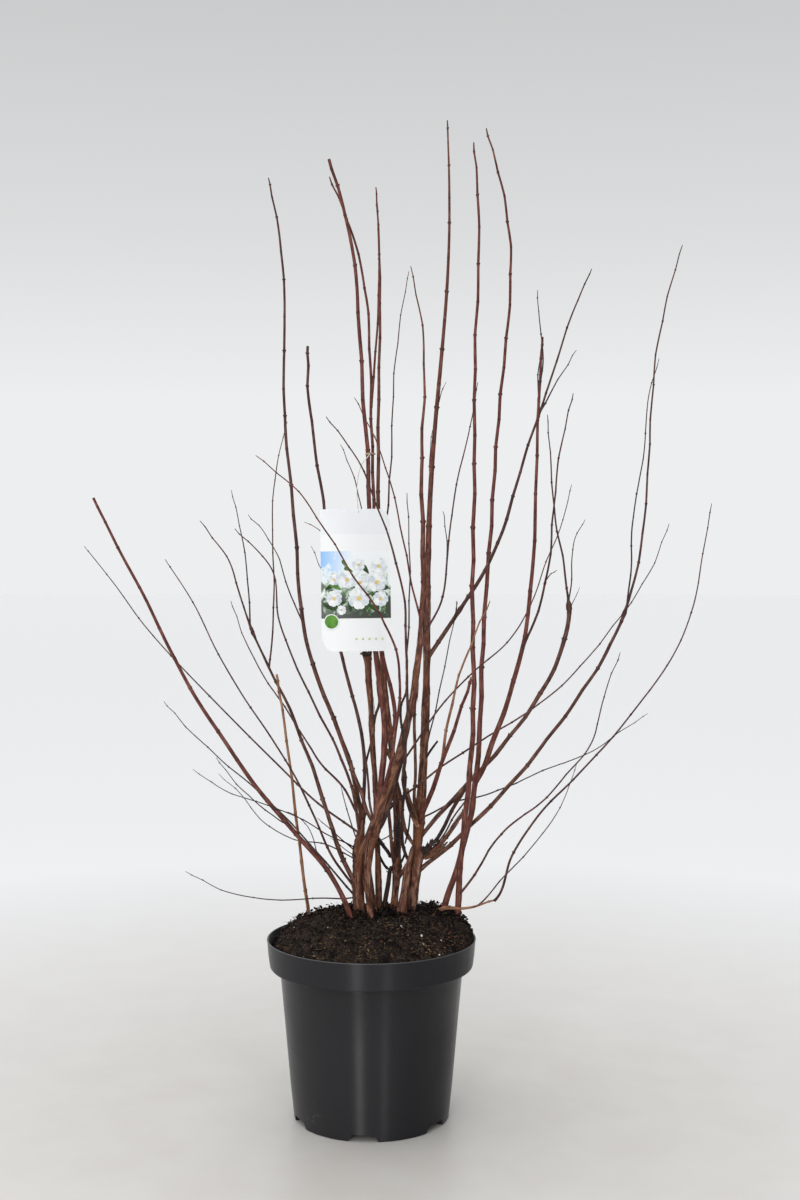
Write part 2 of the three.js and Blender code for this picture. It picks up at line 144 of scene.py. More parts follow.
class Finish(Nodes):
    """A procedural material on one Principled shader, with short calls for the nodes that feed it."""

    def __init__(self, name, **constants):
        self.material = bpy.data.materials.new(name)
        self.material.use_nodes = True
        super().__init__(self.material.node_tree)
        self.shader = self.tree.nodes["Principled BSDF"]
        for socket, value in constants.items():
            self.shader.inputs[socket.replace("_", " ")].default_value = value

    def place(self):
        """The point in the object's own frame."""
        return self.add("ShaderNodeTexCoord").outputs["Object"]

    def axis(self, name):
        return self.add("ShaderNodeSeparateXYZ", {0: self.place()}).outputs[name]

    def share(self, name, output="Fac"):
        """A named value of the mesh."""
        return self.add("ShaderNodeAttribute", attribute_name=name).outputs[output]

    def stretched(self, source, stretch):
        return self.add("ShaderNodeVectorMath", {0: source, 1: stretch}, operation="MULTIPLY").outputs[0]

    def noise(self, source, stretch, detail=4.0, distortion=0.0):
        return self.add("ShaderNodeTexNoise", {
            "Vector": self.stretched(source, stretch), "Scale": 1.0, "Detail": detail, "Roughness": 0.55,
            "Distortion": distortion,
        }).outputs["Fac"]

    def grain(self, stretch, detail=4.0, distortion=0.0):
        """Noise in the object's own frame: stretch is one number, or one for each axis."""
        stretch = stretch if isinstance(stretch, tuple) else (stretch,) * 3
        return self.noise(self.place(), stretch, detail, distortion)

    def cells(self, source, stretch):
        vector = self.stretched(source, stretch)
        return self.add("ShaderNodeTexVoronoi", {"Vector": vector, "Scale": 1.0}).outputs["Distance"]

    def maths(self, operation, a, b):
        return self.add("ShaderNodeMath", {0: a, 1: b}, operation=operation).outputs[0]

    def times(self, a, b):
        return self.maths("MULTIPLY", a, b)

    def weighed(self, a, share_a, b, share_b):
        return self.maths("ADD", self.times(a, share_a), self.times(b, share_b))

    def mix(self, share, a, b):
        node = self.add("ShaderNodeMix", data_type="RGBA")
        for socket, value in zip((node.inputs[0], node.inputs[6], node.inputs[7]), (share, a, b)):
            self.feed(socket, (*value, 1) if isinstance(value, tuple) else value)
        return node.outputs[2]

    def colour(self, value):
        self.feed(self.shader.inputs["Base Color"], value)
        return self

    def rough(self, value):
        self.feed(self.shader.inputs["Roughness"], value)

    def bump(self, height, distance, strength):
        node = self.add("ShaderNodeBump", {"Height": height, "Distance": distance, "Strength": strength})
        self.feed(self.shader.inputs["Normal"], node.outputs["Normal"])
        return self


def speckled(name, low, high, scale=400, **constants):
    """A plain matt finish that wavers between two colours."""
    finish = Finish(name, **{"Roughness": 0.85, **constants})
    return finish.colour(finish.ramp(finish.grain(scale, 2), [(0.35, low), (0.65, high)])).material


def speckles(*rows, **constants):
    return [speckled(*row, **constants) for row in rows]


# Bark colours are (dark, main, light)
YOUNG_RED = ((0.026, 0.008, 0.007), (0.115, 0.031, 0.025), (0.235, 0.092, 0.068))
YOUNG_AMBER = ((0.028, 0.010, 0.008), (0.108, 0.035, 0.025), (0.235, 0.098, 0.066))
YOUNG_BROWN = ((0.021, 0.010, 0.009), (0.066, 0.027, 0.023), (0.165, 0.080, 0.064))
YOUNG_DARK = ((0.010, 0.007, 0.007), (0.028, 0.017, 0.016), (0.075, 0.048, 0.042))
TWIG_GREY = ((0.016, 0.011, 0.011), (0.043, 0.027, 0.026), (0.110, 0.076, 0.068))
TAN = ((0.090, 0.040, 0.021), (0.235, 0.110, 0.058), (0.430, 0.255, 0.155))
OLD = ((0.024, 0.011, 0.009), (0.128, 0.054, 0.036), (0.300, 0.160, 0.104))
OLD_DARK = ((0.012, 0.008, 0.007), (0.044, 0.024, 0.019), (0.120, 0.070, 0.050))
RUST = (0.220, 0.078, 0.034)
YOUNG_SPREAD, OLD_SPREAD = 0.19, 0.115     # how far apart the tones lie: old bark is the starker


def bark_finish(name, young, old):
    """Bark in two ages, streaked along the limb, darker round its buds, with painted shade in its grooves."""
    finish = Finish(name, Specular_IOR_Level=0.17)
    place = finish.share("limb", "Vector")
    streaks = finish.noise(place, (560, 560, 62), 5, 0.4)
    patches = finish.noise(place, (170, 170, 55), 5, 1.0)
    blots = finish.noise(place, (60, 60, 22), 3)
    flecks = finish.cells(place, (800, 800, 330))
    tone = finish.weighed(streaks, 0.38, patches, 0.62)
    skins = []
    for (dark, main, light), spread in ((young, YOUNG_SPREAD), (old, OLD_SPREAD)):
        skins.append(finish.ramp(tone, [(0.5 - spread, dark), (0.5, main), (0.5 + spread, light)]))
    age = finish.share("age")
    skin = finish.mix(age, *skins)
    rusty = finish.times(finish.range(blots, 0.50, 0.66, 0.0, 0.58), age)
    skin = finish.mix(rusty, skin, RUST)
    skin = finish.mix(finish.range(flecks, 0.0, 0.22, 0.6, 0.0), skin, finish.mix(age, young[2], old[2]))
    # painted shade: the bark darkens in its grooves and in the hollows of its burrs
    skin = finish.mix(finish.share("groove"), skin, finish.mix(age, young[0], old[0]))
    knot = tuple(0.42 * c for c in young[1])
    finish.colour(finish.mix(finish.times(finish.share("knot"), 0.7), skin, knot))
    wear = finish.maths("ADD", age, finish.times(streaks, 0.5))
    finish.rough(finish.range(wear, 0.2, 1.2, 0.42, 0.9))
    return finish.bump(streaks, 0.0006, 0.5).material


SCUFFED_PLACE = (-0.083, -0.080, 0.030)


def pot_finish():
    """Satin black plastic with faint drawn lines, dull smears, a few brown scuffs, and a painted highlight
    along the top of the lip.
    """
    finish = Finish("pot_plastic", Specular_IOR_Level=0.34, Anisotropic=1.0, Anisotropic_Rotation=0.25)
    smears = finish.grain((9, 9, 26), 5, 1.2)
    streaks = finish.grain((60, 60, 5))
    specks = finish.grain((150, 150, 110), 5, 0.8)
    away = finish.add("ShaderNodeVectorMath", {0: finish.place(), 1: SCUFFED_PLACE}, operation="DISTANCE")
    near = finish.range(away.outputs["Value"], 0.006, 0.022, 1.0, 0.02)
    scuffed = finish.times(finish.range(specks, 0.58, 0.68), near)
    black = finish.mix(smears, (0.0090, 0.0090, 0.0112), (0.0125, 0.0125, 0.0150))
    # painted highlight: a pale line along the top of the lip
    black = finish.mix(finish.range(finish.axis("Z"), 0.2556, 0.2564), black, (0.058, 0.059, 0.062))
    finish.colour(finish.mix(scuffed, black, (0.095, 0.072, 0.052)))
    dull = finish.weighed(smears, 0.6, streaks, 0.4)
    on_rim = finish.range(finish.axis("Z"), 0.212, 0.220, 0.0, 0.07)
    finish.rough(finish.maths("ADD", finish.range(dull, 0.3, 0.7, 0.31, 0.43), on_rim))
    return finish.bump(finish.grain(420, 2), 0.0002, 0.08).material


def soil_finish():
    """Moist peat: black to dark brown, with rusty patches."""
    finish = Finish("peat", Specular_IOR_Level=0.08, Roughness=0.95)
    lumps = finish.grain(60, 6, 0.5)
    crumbs = finish.grain(420)
    peat = finish.ramp(finish.weighed(lumps, 0.5, crumbs, 0.5), [
        (0.40, (0.0035, 0.003, 0.0028)), (0.50, (0.012, 0.0095, 0.008)), (0.60, (0.038, 0.027, 0.020)),
    ])
    rust = finish.range(finish.grain(150), 0.60, 0.68)
    finish.colour(finish.mix(rust, peat, (0.075, 0.038, 0.022)))
    return finish.bump(crumbs, 0.002, 1.0).material


def card_finish():
    """Glossy printed card: white, with a slightly greyer panel at its top."""
    finish = Finish("printed_card", Roughness=0.35)
    top = finish.range(finish.axis("Z"), 0.834, 0.8345)
    white = finish.mix(finish.grain((30, 1, 18), 2), (0.680, 0.692, 0.698), (0.712, 0.718, 0.716))
    return finish.colour(finish.mix(top, white, (0.655, 0.672, 0.686))).material


def picture_finish():
    """The picture's soft ground: a pale haze over dark leaves, with a patch of sky at its upper left."""
    finish = Finish("picture_ground", Roughness=0.35)
    haze = finish.grain((75, 1, 62), 5, 1.6)
    height = finish.range(finish.axis("Z"), 0.716, 0.812)
    drift = finish.maths("ADD", height, finish.range(haze, 0.3, 0.7, -0.30, 0.30))
    ground = finish.ramp(drift, [
        (0.14, (0.006, 0.014, 0.005)), (0.28, (0.045, 0.100, 0.030)), (0.44, (0.40, 0.50, 0.42)),
        (0.62, (0.70, 0.73, 0.73)),
    ])
    side = finish.range(finish.axis("X"), -0.068, -0.022, 1.0, 0.0)
    sky = finish.times(side, finish.range(drift, 0.58, 0.80))
    return finish.colour(finish.mix(sky, ground, (0.15, 0.38, 0.72))).material


# ---------- Meshes ----------

SHARP = math.radians(35)                   # edges that turn by more than this are shaded as edges


def add_piece(name, points, faces, materials, slot, smooth=True, shares=(), kinds=None):
    """A mesh piece of the shrub. shares are named values of each point, kinds each face's material."""
    mesh = bpy.data.meshes.new(name)
    mesh.from_pydata(np.asarray(points, float).tolist(), [], faces)
    for material in materials:
        mesh.materials.append(material)
    if kinds is not None:
        mesh.polygons.foreach_set("material_index", kinds)
    for key, values in dict(shares).items():
        values = np.asarray(values, np.float32)
        if values.ndim == 2:
            mesh.attributes.new(key, "FLOAT_VECTOR", "POINT").data.foreach_set("vector", values.ravel())
        else:
            mesh.attributes.new(key, "FLOAT", "POINT").data.foreach_set("value", values)
    mesh.polygons.foreach_set("use_smooth", [smooth] * len(mesh.polygons))
    mesh.update()
    piece = in_scene(name, mesh)
    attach(piece, "root")
    return piece


class Heap:
    """Many shapes gathered into one mesh."""

    def __init__(self):
        self.points, self.faces, self.kinds, self.shares, self.count = [], [], [], {}, 0

    def put(self, points, faces, kind=0, shares=()):
        self.points.append(np.asarray(points, float))
        self.faces += [[i + self.count for i in face] for face in faces]
        self.kinds += [kind] * len(faces) if isinstance(kind, int) else kind
        for key, values in dict(shares).items():
            self.shares.setdefault(key, []).append(values)
        self.count += len(points)

    def piece(self, name, materials, slot, smooth=True):
        shares = {key: np.concatenate(values) for key, values in self.shares.items()}
        points = np.concatenate(self.points)
        return add_piece(name, points, self.faces, materials, slot, smooth, shares, self.kinds)


def circle(radius, sides, shift=0):
    """Points (x, y) evenly round a circle, turned on by a share of a side."""
    turns = [(j + shift) * TURN / sides for j in range(sides)]
    return [(radius * math.cos(turn), radius * math.sin(turn)) for turn in turns]


def disc_faces(rings, sides):
    """The faces of a round sheet: a fan round its middle point, and squares between its rings."""
    faces = [[0, 1 + j, 1 + (j + 1) % sides] for j in range(sides)]
    for i in range(rings - 1):
        low, high = 1 + i * sides, 1 + (i + 1) * sides
        for j in range(sides):
            k = (j + 1) % sides
            faces.append([low + j, high + j, high + k, low + k])
    return faces


def tube_faces(rings, sides, closed=True):
    faces = []
    for i in range(rings - 1):
        for j in range(sides):
            k = (j + 1) % sides
            faces.append([i * sides + j, i * sides + k, (i + 1) * sides + k, (i + 1) * sides + j])
    if closed:
        faces.append(list(range(sides))[::-1])
        faces.append([(rings - 1) * sides + j for j in range(sides)])
    return faces


def unit(vectors):
    vectors = np.asarray(vectors, float)
    return vectors / np.linalg.norm(vectors, axis=-1, keepdims=True)


def smooth_path(knots, spacing):
    """Points along a smooth curve through the knots, and each point's place counted in knots."""
    knots = np.asarray(knots, float)
    steps = np.linalg.norm(np.diff(knots, axis=0), axis=1)
    slopes = np.diff(knots, axis=0) / steps[:, None]
    middle = slopes[:-1] * steps[1:, None] + slopes[1:] * steps[:-1, None]
    tangents = np.concatenate([slopes[:1], middle / (steps[:-1] + steps[1:])[:, None], slopes[-1:]])
    points, places = [], []
    for i, step in enumerate(steps):
        count = max(2, math.ceil(step / spacing))
        t = (np.arange(count + (i == len(steps) - 1)) / count)[:, None]
        points.append(
            knots[i] * (2 * t ** 3 - 3 * t ** 2 + 1) + knots[i + 1] * (3 * t ** 2 - 2 * t ** 3)
            + tangents[i] * step * (t ** 3 - 2 * t ** 2 + t) + tangents[i + 1] * step * (t ** 3 - t ** 2))
        places.append(i + t[:, 0])
    return np.concatenate(points), np.concatenate(places)


def frames_along(points):
    """The tangent and two directions across a path at each of its points, turning as little as they can."""
    tangents = unit(np.gradient(points, axis=0))
    across = np.empty_like(tangents)
    first = FORWARD if abs(tangents[0][1]) < 0.9 else np.array([1.0, 0.0, 0.0])
    for i, tangent in enumerate(tangents):
        first = unit(first - tangent * (first @ tangent))
        across[i] = first
    return tangents, across, np.cross(tangents, across)


# ---------- Limbs ----------

SLOT_OF = {row["node"]: row["material_slot"] for row in frame["record"]["subparts"]}
PATH_STEP = 2.5 * MM
RING_STEP = 4 * MM
FOOT_DEPTH = 10 * MM

RED_LIMBS = ("stem_red_front", "stem_red_back", "cane_red_short", "cane_cut_tall", "cane_twin",
             "cane_twin_fork", "stem_outer_left", "cane_card_front", "cane_cut_right", "cane_fine_left")
DARK_LIMBS = ("cane_low_back", "cane_low_back_left", "twig_cut_left")
# Limbs with young brown bark above and near-black old bark low down, which is painted shade
PAINTED_SHADE_LOW_LIMBS = ("cane_dark_front",)
CUT_TIPS = ("cane_cut_tall", "cane_cut_left", "cane_cut_right", "stem_outer_left", "stem_tan_left",
            "stem_inner", "cane_red_short")
CAPPED_TIPS = ("stem_inner",)              # old cuts that a burr has grown over

# Where a limb is stouter or thinner than its CAD solid: (row of the photograph, factor) from foot to tip
GIRTHS = {
    "cane_back_right": [(840, 0.9), (720, 1.1), (615, 1.7), (604, 1.5), (598, 0.95), (414, 0.9)],
    "cane_high_right": [(700, 1.0), (622, 1.1), (609, 0.95), (245, 0.9)],
    "cane_dark_front": [(830, 0.7), (796, 0.8), (780, 1.0), (414, 1.0)],
    "stem_left": [(915, 0.95), (840, 0.85), (815, 0.75), (806, 0.5)],
    "stem_centre": [(918, 0.55), (868, 0.62), (845, 0.95), (800, 0.95), (520, 1.0), (264, 1.0)],
    "stem_inner": [(912, 0.9), (800, 0.75), (700, 1.05), (655, 1.3)],
}
# Burrs and knots: (row of the photograph, how far it stands out, half its length), in millimetres
KNOTS = {
    "cane_back_right": [(607, 2.2, 5)],
    "cane_high_right": [(613, 1.8, 6)],
    "cane_thick_left": [(631, 1.6, 9)],
    "stem_inner": [(656, 2.2, 7), (725, 0.8, 8)],
    "stem_left": [(846, 2.2, 14), (866, 1.0, 8), (812, 1.6, 7)],
    "stem_centre": [(832, 1.6, 14), (812, 0.8, 9), (708, 0.9, 8)],
    "stem_back": [(866, 1.6, 6), (846, 1.2, 7)],
    "stem_right": [(856, 1.0, 9), (822, 1.2, 9), (744, 0.8, 8), (595, 0.7, 7)],
    "stem_red_front": [(868, 0.8, 5), (775, 0.9, 6)],
    "cane_upper_right": [(610, 1.2, 5)],
    "stem_tan_left": [(862, 0.6, 4)],
    "cane_cut_right": [(400, 0.7, 4)],
}

# Shoots too small for the CAD: look, width in millimetres at the foot and the tip, what each end meets (a
# limb, or how far behind the pot's middle it is, in millimetres), and the pixels that the shoot passes
SHOOTS = {
    "root_diagonal": ("old", 9.5, 8, 2, "stem_left", [(376, 925), (369, 896), (364, 877), (359, 853)]),
    "root_brown": ("old", 7.5, 8, 14, "stem_centre", [(377, 924), (372, 895), (369, 870), (371, 846)]),
    "bough_root": ("old", 14, 13, "stem_left", "stem_centre",
                   [(358, 885), (360, 862), (367, 841), (375, 823), (382, 804), (387, 790)]),
    "root_fork": ("dark", 7.5, 6.5, 22, "stem_back", [(383, 922), (385, 903), (388, 884), (391, 866)]),
    "link_high": ("dark", 5.6, 5, "stem_centre", "stem_back",
                  [(374, 833), (381, 842), (387, 851), (393, 858)]),
    "link_low": ("dark", 4.2, 3.8, "stem_inner", "stem_back",
                 [(377, 850), (382, 861), (387, 868), (393, 871)]),
    "twig_gap": ("twig", 2.2, 1.6, "stem_centre", "stem_back", [(377, 843), (385, 838), (394, 830)]),
    "dead_stub": ("dark", 6.4, 5.2, "stem_back", 12, [(396, 864), (397.5, 845), (397.3, 829), (396.8, 815)]),
    "link_bent": ("dark", 4.2, 3.8, "stem_back", 18, [(394, 875), (399, 867), (404, 856), (405, 846)]),
    "shoot_brown": ("tan_dark", 5.4, 5.2, "stem_right", "cane_cut_tall",
                    [(417, 849), (411, 841), (405, 829), (401.5, 813), (400, 797), (396.5, 781), (393.5, 766),
                     (385, 746)]),
    "shoot_dark": ("dark", 5, 4, "stem_right", "cane_dark_front",
                   [(415, 868), (408, 859), (403.6, 846), (402, 828), (402.2, 808), (405, 788), (405, 770)]),
    "link_cross": ("old", 5.4, 5, "stem_back", "stem_right",
                   [(395, 885), (401, 874), (406, 866), (415, 857)]),
    "twig_purple": ("dark", 3.4, 2.4, 6, "cane_dark_front",
                    [(405, 844), (408.5, 829), (410, 815), (410, 804)]),
    "link_arch": ("dark", 3, 3.4, "stem_centre", "stem_back",
                  [(376, 836), (383, 820), (387, 813), (392, 807), (396, 797)]),
    "shoot_edge": ("old", 5.4, 4.2, "stem_back", "stem_centre",
                   [(394, 866), (391.5, 847), (390.3, 830), (389, 813), (388.5, 800), (392, 775)]),
    "bough_dark": ("dark", 7.5, 6.6, "stem_centre", "stem_centre",
                   [(373, 838), (382, 822), (388, 805), (394, 789), (398.5, 771), (402.5, 755), (407, 729)]),
    "bough_link": ("dark", 4, 3.2, "stem_centre", "cane_dark_front",
                   [(404, 752), (402.6, 736), (400.6, 720), (401.5, 706), (406, 692), (407, 678)]),
    "shoot_cross": ("young", 5.4, 4.8, "stem_centre", "cane_tall_left",
                    [(377, 828), (367, 811), (362, 796), (357, 782), (348, 756)]),
    "shoot_thin": ("young", 3.8, 3.2, "stem_centre", "cane_cut_left",
                   [(375, 826), (369.7, 803), (368.3, 783), (366.5, 765), (362, 738)]),
    "shoot_inner": ("young", 4.4, 3.4, "stem_inner", "cane_cut_tall",
                    [(372.5, 727), (376, 713), (379, 704), (378, 690), (377, 664)]),
    "shoot_side": ("tan_dark", 4.6, 4.2, "stem_right", "stem_centre",
                   [(419, 826), (414.3, 802), (415.6, 775), (415.2, 755), (414.3, 725), (415, 700),
                    (418, 672)]),
    "stub_torn": ("tan_dark", 12, 7, "stem_right", -14,
                  [(420, 834), (415.5, 821), (411, 809), (408, 798), (406.5, 789)]),
    "stub_flake": ("tan_dark", 8, 2.4, "stem_right", -9,
                   [(425, 859), (433, 854.5), (440, 849.5), (447.5, 842)]),
    "stub_dark": ("dark", 4, 3.2, "stem_right", 6, [(424, 762), (429, 753), (437.6, 741)]),
    "branch_burr": ("dark", 5.4, 5.2, "stem_right", "cane_back_right",
                    [(417, 858), (426, 847), (435, 840), (442, 830), (450, 815), (456, 803), (470, 782)]),
    "branch_brown": ("old", 5.6, 5.4, "stem_right", "stem_red_back",
                     [(416, 864), (430, 852), (440, 845), (447, 836), (455, 824), (468, 806)]),
    "branch_pale": ("young", 3, 2.8, "stem_right", "stem_red_back",
                    [(417, 860), (432, 849), (445, 833), (453, 818), (466, 800)]),
    "twig_left_dark": ("twig", 2.6, 1.8, "stem_left", -30,
                       [(357, 853), (351.5, 847.5), (335.8, 834), (317.5, 818)]),
    "twig_left_steep": ("twig", 2.6, 1.8, "stem_left", 20, [(356, 838), (351, 823), (344, 799), (341, 786)]),
    "twig_left_low": ("twig", 2.0, 1.2, "stem_left", -60, [(357, 858), (346, 850), (337, 842), (330, 838)]),
    "twig_card_high": ("twig", 2.0, 1.4, "cane_cut_tall", -70,
                       [(375, 640), (361, 598), (346, 562), (333, 541), (320, 530), (304, 522)]),
    "twig_card_low": ("twig", 2.0, 1.4, "cane_cut_tall", -72,
                      [(376, 648), (356, 622), (338, 596), (321, 568), (311, 546)]),
    "tip_side": ("twig", 3, 1.8, "cane_cut_right", -140,
                 [(539.5, 418), (538.4, 392), (538.7, 370), (540.6, 350)]),
    "twig_bow": ("twig", 2.0, 1.4, "stem_right", 42, [(431.5, 482), (429.8, 464), (431, 441), (432.5, 430)]),
    "twig_fork_high": ("twig", 2.4, 1.4, "stem_right", 30,
                       [(437.5, 408), (439.5, 400), (441.5, 392), (446.4, 381.5)]),
    "wisp_knob": ("twig", 2.0, 1.2, "cane_back_right", 150,
                  [(570.5, 608), (573, 602), (576.5, 595), (579.8, 587)]),
    "twig_arch": ("twig", 1.9, 1.2, "stem_outer_left", -60,
                  [(319, 863), (316, 851), (313, 838), (307, 825), (297, 816.5), (283, 811.5), (270, 807)]),
    "twig_side_right": ("twig", 2.4, 1.6, "cane_front_right", -150, [(545.5, 581), (551, 574), (557, 570)]),
    "stub_short": ("twig", 2.0, 1.4, "cane_upper_right", 30, [(456.5, 613), (456.7, 607), (456.4, 601)]),
}
SHOOT_SLOTS = {"old": "bark_old", "dark": "bark_young", "young": "bark_young", "tan_dark": "bark_young",
               "twig": "bark_twig"}


def trace_limb(name):
    """A limb's middle line and radius, read from the rings of its CAD solid, from its foot to its tip."""
    mesh = frame["nodes"][name].data
    raw = np.array([v.co for v in mesh.vertices])
    points, index = np.unique(np.round(raw, 6), axis=0, return_inverse=True)
    index = index.ravel()
    links = [set() for _ in points]
    for polygon in mesh.polygons:
        corners = index[list(polygon.vertices)]
        for corner in corners:
            links[corner].update(corners)
    top = points[points[:, 2].argmax()]
    near = np.argsort(np.linalg.norm(points - top, axis=1))[:7]
    apart = np.linalg.norm(points[near] - points[near].mean(axis=0), axis=1)
    seen = set(near)
    if apart.min() < 0.5 * np.median(apart):           # the middle of the end face is a point of its own
        ring = np.delete(near, apart.argmin())
    else:
        ring = near[:6]
        seen = set(ring)
    centres, radii = [], []
    while len(ring) == 6:
        centre = points[ring].mean(axis=0)
        apart = np.linalg.norm(points[ring] - centre, axis=1)
        if apart.max() > 1.06 * apart.min():
            break
        centres.append(centre)
        radii.append(apart.mean())
        beyond = set().union(*(links[i] for i in ring)) - seen
        reach = 1.2 * apart.mean()
        ring = np.array(sorted(i for i in beyond if np.linalg.norm(points[i] - centre) > reach))
        seen |= set(ring)
    rest = np.array([p for i, p in enumerate(points) if i not in seen or i in set(ring)])
    away = np.linalg.norm(rest - centres[-1], axis=1)
    centres.append(rest[away > 0.75 * away.max()].mean(axis=0))
    radii.append(2 * radii[-1] - radii[-2] if len(radii) > 1 else radii[-1])
    return np.array(centres[::-1]), np.array(radii[::-1])


class Limb:
    """A limb's path in small steps, with its radius, its directions across and its length so far."""

    def __init__(self, name, look, slot, knots, radii, cut=False):
        self.name, self.look, self.slot, self.is_cut = name, look, slot, cut
        self.is_stem = name.startswith(("stem_", "root_")) or name == "runner"
        self.knots, self.knot_radii = np.asarray(knots), np.asarray(radii)
        self.swellings = []                            # (place along, direction or None, size, length)
        self.is_joined = False
        self.lay()

    def lay(self):
        self.points, places = smooth_path(self.knots, PATH_STEP)
        self.radii = np.interp(places, np.arange(len(self.knot_radii)), self.knot_radii)
        self.measure()

    def measure(self):
        steps = np.linalg.norm(np.diff(self.points, axis=0), axis=1)
        self.along = np.concatenate([[0], np.cumsum(steps)])
        self.length = self.along[-1]
        self.tangents, self.across, self.deep = frames_along(self.points)

    def start_from(self, point):
        """Carries the limb back from its foot to a point."""
        self.knots = np.vstack([point, self.knots])
        self.knot_radii = np.append(self.knot_radii[0], self.knot_radii)
        self.lay()

    def feet_in_soil(self):
        """Carries the stem on into the soil below its foot."""
        self.start_from(self.knots[0] - unit(self.tangents[0] + UP) * FOOT_DEPTH)

    def at(self, along, vectors):
        """One of the limb's rows of vectors, read at a place along it or at each of many."""
        return np.stack([np.interp(along, self.along, vectors[:, k]) for k in range(3)], axis=-1)

    def ways_at(self, along):
        """The direction of the limb and two across it, at a place along it or at each of many."""
        return [unit(self.at(along, ways)) for ways in (self.tangents, self.across, self.deep)]

    def radius_at(self, along):
        return float(np.interp(along, self.along, self.radii))

    def along_at_row(self, row):
        """How far up the limb a row of the photograph is."""
        rows = to_pixels(self.points)[:, 1]
        return self.along[np.abs(rows - row).argmin()]

    def depth_at(self, pixel):
        """How far behind the pot's middle the limb is where the photograph shows it nearest to a pixel."""
        away = np.linalg.norm(to_pixels(self.points) - pixel, axis=1)
        return self.points[away.argmin()][1]


def look_of(name):
    if name in DARK_LIMBS:
        return "dark"
    if name in PAINTED_SHADE_LOW_LIMBS:
        return "dark_low"
    if name in RED_LIMBS:
        return "red"
    return SLOT_OF[name].replace("bark_", "")


def limbs_from_frame():
    limbs = {}
    for name in frame["nodes"]:
        if SLOT_OF[name].startswith("bark_"):
            cut = name in CUT_TIPS
            limbs[name] = Limb(name, look_of(name), SLOT_OF[name], *trace_limb(name), cut)
    return limbs


PARENT_REACH = 45 * MM                     # how far from a shoot's foot its start on the parent may be
TOUCHING = 1.5 * MM                        # a foot nearer to its start than this stays where it is


def join_to_parents(limbs):
    """Starts each shoot on its parent's middle line, swells the parent there, and sets stems in the soil."""
    for limb in limbs.values():
        if limb.is_stem:
            limb.feet_in_soil()
            continue
        foot = limb.points[0]
        gaps = {}
        for other in limbs.values():
            if other is not limb:
                away = np.linalg.norm(other.points - foot, axis=1)
                gaps[other.name] = away.min() - other.radii[away.argmin()]
        parent = limbs[min(gaps, key=gaps.get)]
        near = np.linalg.norm(parent.points - foot, axis=1) < PARENT_REACH
        back = -limb.tangents[0]
        offsets = parent.points[near] - foot
        miss = np.linalg.norm(offsets - np.outer(np.clip(offsets @ back, 0, None), back), axis=1)
        start = parent.points[near][miss.argmin()]
        if np.linalg.norm(start - foot) > TOUCHING:
            limb.start_from(start)
        limb.is_joined = True
        swell(parent, limb.at(2 * parent.radii[0] + 4 * MM, limb.points), limb)


def swell(parent, place, shoot):
    """A collar on the parent where a shoot leaves it."""
    i = np.linalg.norm(parent.points - place, axis=1).argmin()
    parent.swellings.append((parent.along[i], unit(shoot.tangents[0]), shoot.radii[0], 7 * MM))


def end_depth(end, pixel, limbs):
    return limbs[end].depth_at(pixel) if isinstance(end, str) else end * MM


def grow_shoots(limbs):
    """The small shoots: each lies where the photograph shows it, between the depths of what its ends meet."""
    shoots = {}
    for name, (look, foot, tip, start, end, pixels) in SHOOTS.items():
        steps = np.linalg.norm(np.diff(pixels, axis=0), axis=1)
        shares = np.concatenate([[0], np.cumsum(steps)]) / steps.sum()
        ends = [end_depth(start, pixels[0], limbs), end_depth(end, pixels[-1], limbs)]
        depths = np.interp(shares, [0, 1], ends)
        knots = [at_pixel(pixel, depth) for pixel, depth in zip(pixels, depths)]
        radii = (foot + (tip - foot) * shares) * MM / 2
        cut = isinstance(end, str) or "stub" in name
        shoot = Limb(name, look, SHOOT_SLOTS[look], knots, radii, cut)
        shoot.is_joined = isinstance(start, str)
        shoots[name] = shoot
        for other, spot in ((start, 0), (end, -1)):
            if isinstance(other, str):
                swell(limbs[other], shoot.points[spot], shoot)
    return shoots


def shape_limb(limb):
    """Sets a limb's girth, thins its tip, and places its pairs of buds, with a small turn at each."""
    rng = random.Random(limb.name)
    rows = to_pixels(limb.points)[:, 1]
    if limb.name in GIRTHS:
        table = np.array(GIRTHS[limb.name][::-1])
        limb.radii = limb.radii * np.interp(rows, table[:, 0], table[:, 1])
    limb.radii = limb.radii * np.interp(limb.radii, [0.9 * MM, 2.2 * MM], [0.80, 1])
    if not limb.is_cut:
        left = limb.length - limb.along
        limb.radii = limb.radii * np.interp(left, [0, 7 * MM, 8 * MM, 90 * MM], [0.55, 0.65, 0.78, 1])
    for row, size, reach in KNOTS.get(limb.name, ()):
        limb.swellings.append((limb.along_at_row(row), None, size * MM, reach * MM))
    slim = limb.radii[-1] < 1.3 * MM
    nodes = []
    step = rng.uniform(9, 14) * MM
    along = limb.length - step
    while along > 12 * MM:
        nodes.append(along)
        full = rng.uniform(34, 52) if slim else rng.uniform(46, 74)
        step = min(full * MM, 1.7 * step)
        along -= step
    limb.nodes = np.array(nodes[::-1])
    first = rng.uniform(0, TURN)
    limb.turns = [first + i * TURN / 4 + rng.uniform(-0.25, 0.25) for i in range(len(nodes))]
    if len(nodes) < 2:
        return
    marks = np.concatenate([[0], limb.nodes, [limb.length]])
    sizes = [0] + [rng.uniform(0.4, 1.2) * MM * (-1) ** i for i in range(len(nodes))] + [0]
    turn = rng.uniform(0, TURN)
    side = limb.across * math.cos(turn) + limb.deep * math.sin(turn)
    limb.points = limb.points + side * np.interp(limb.along, marks, sizes)[:, None]
    limb.measure()


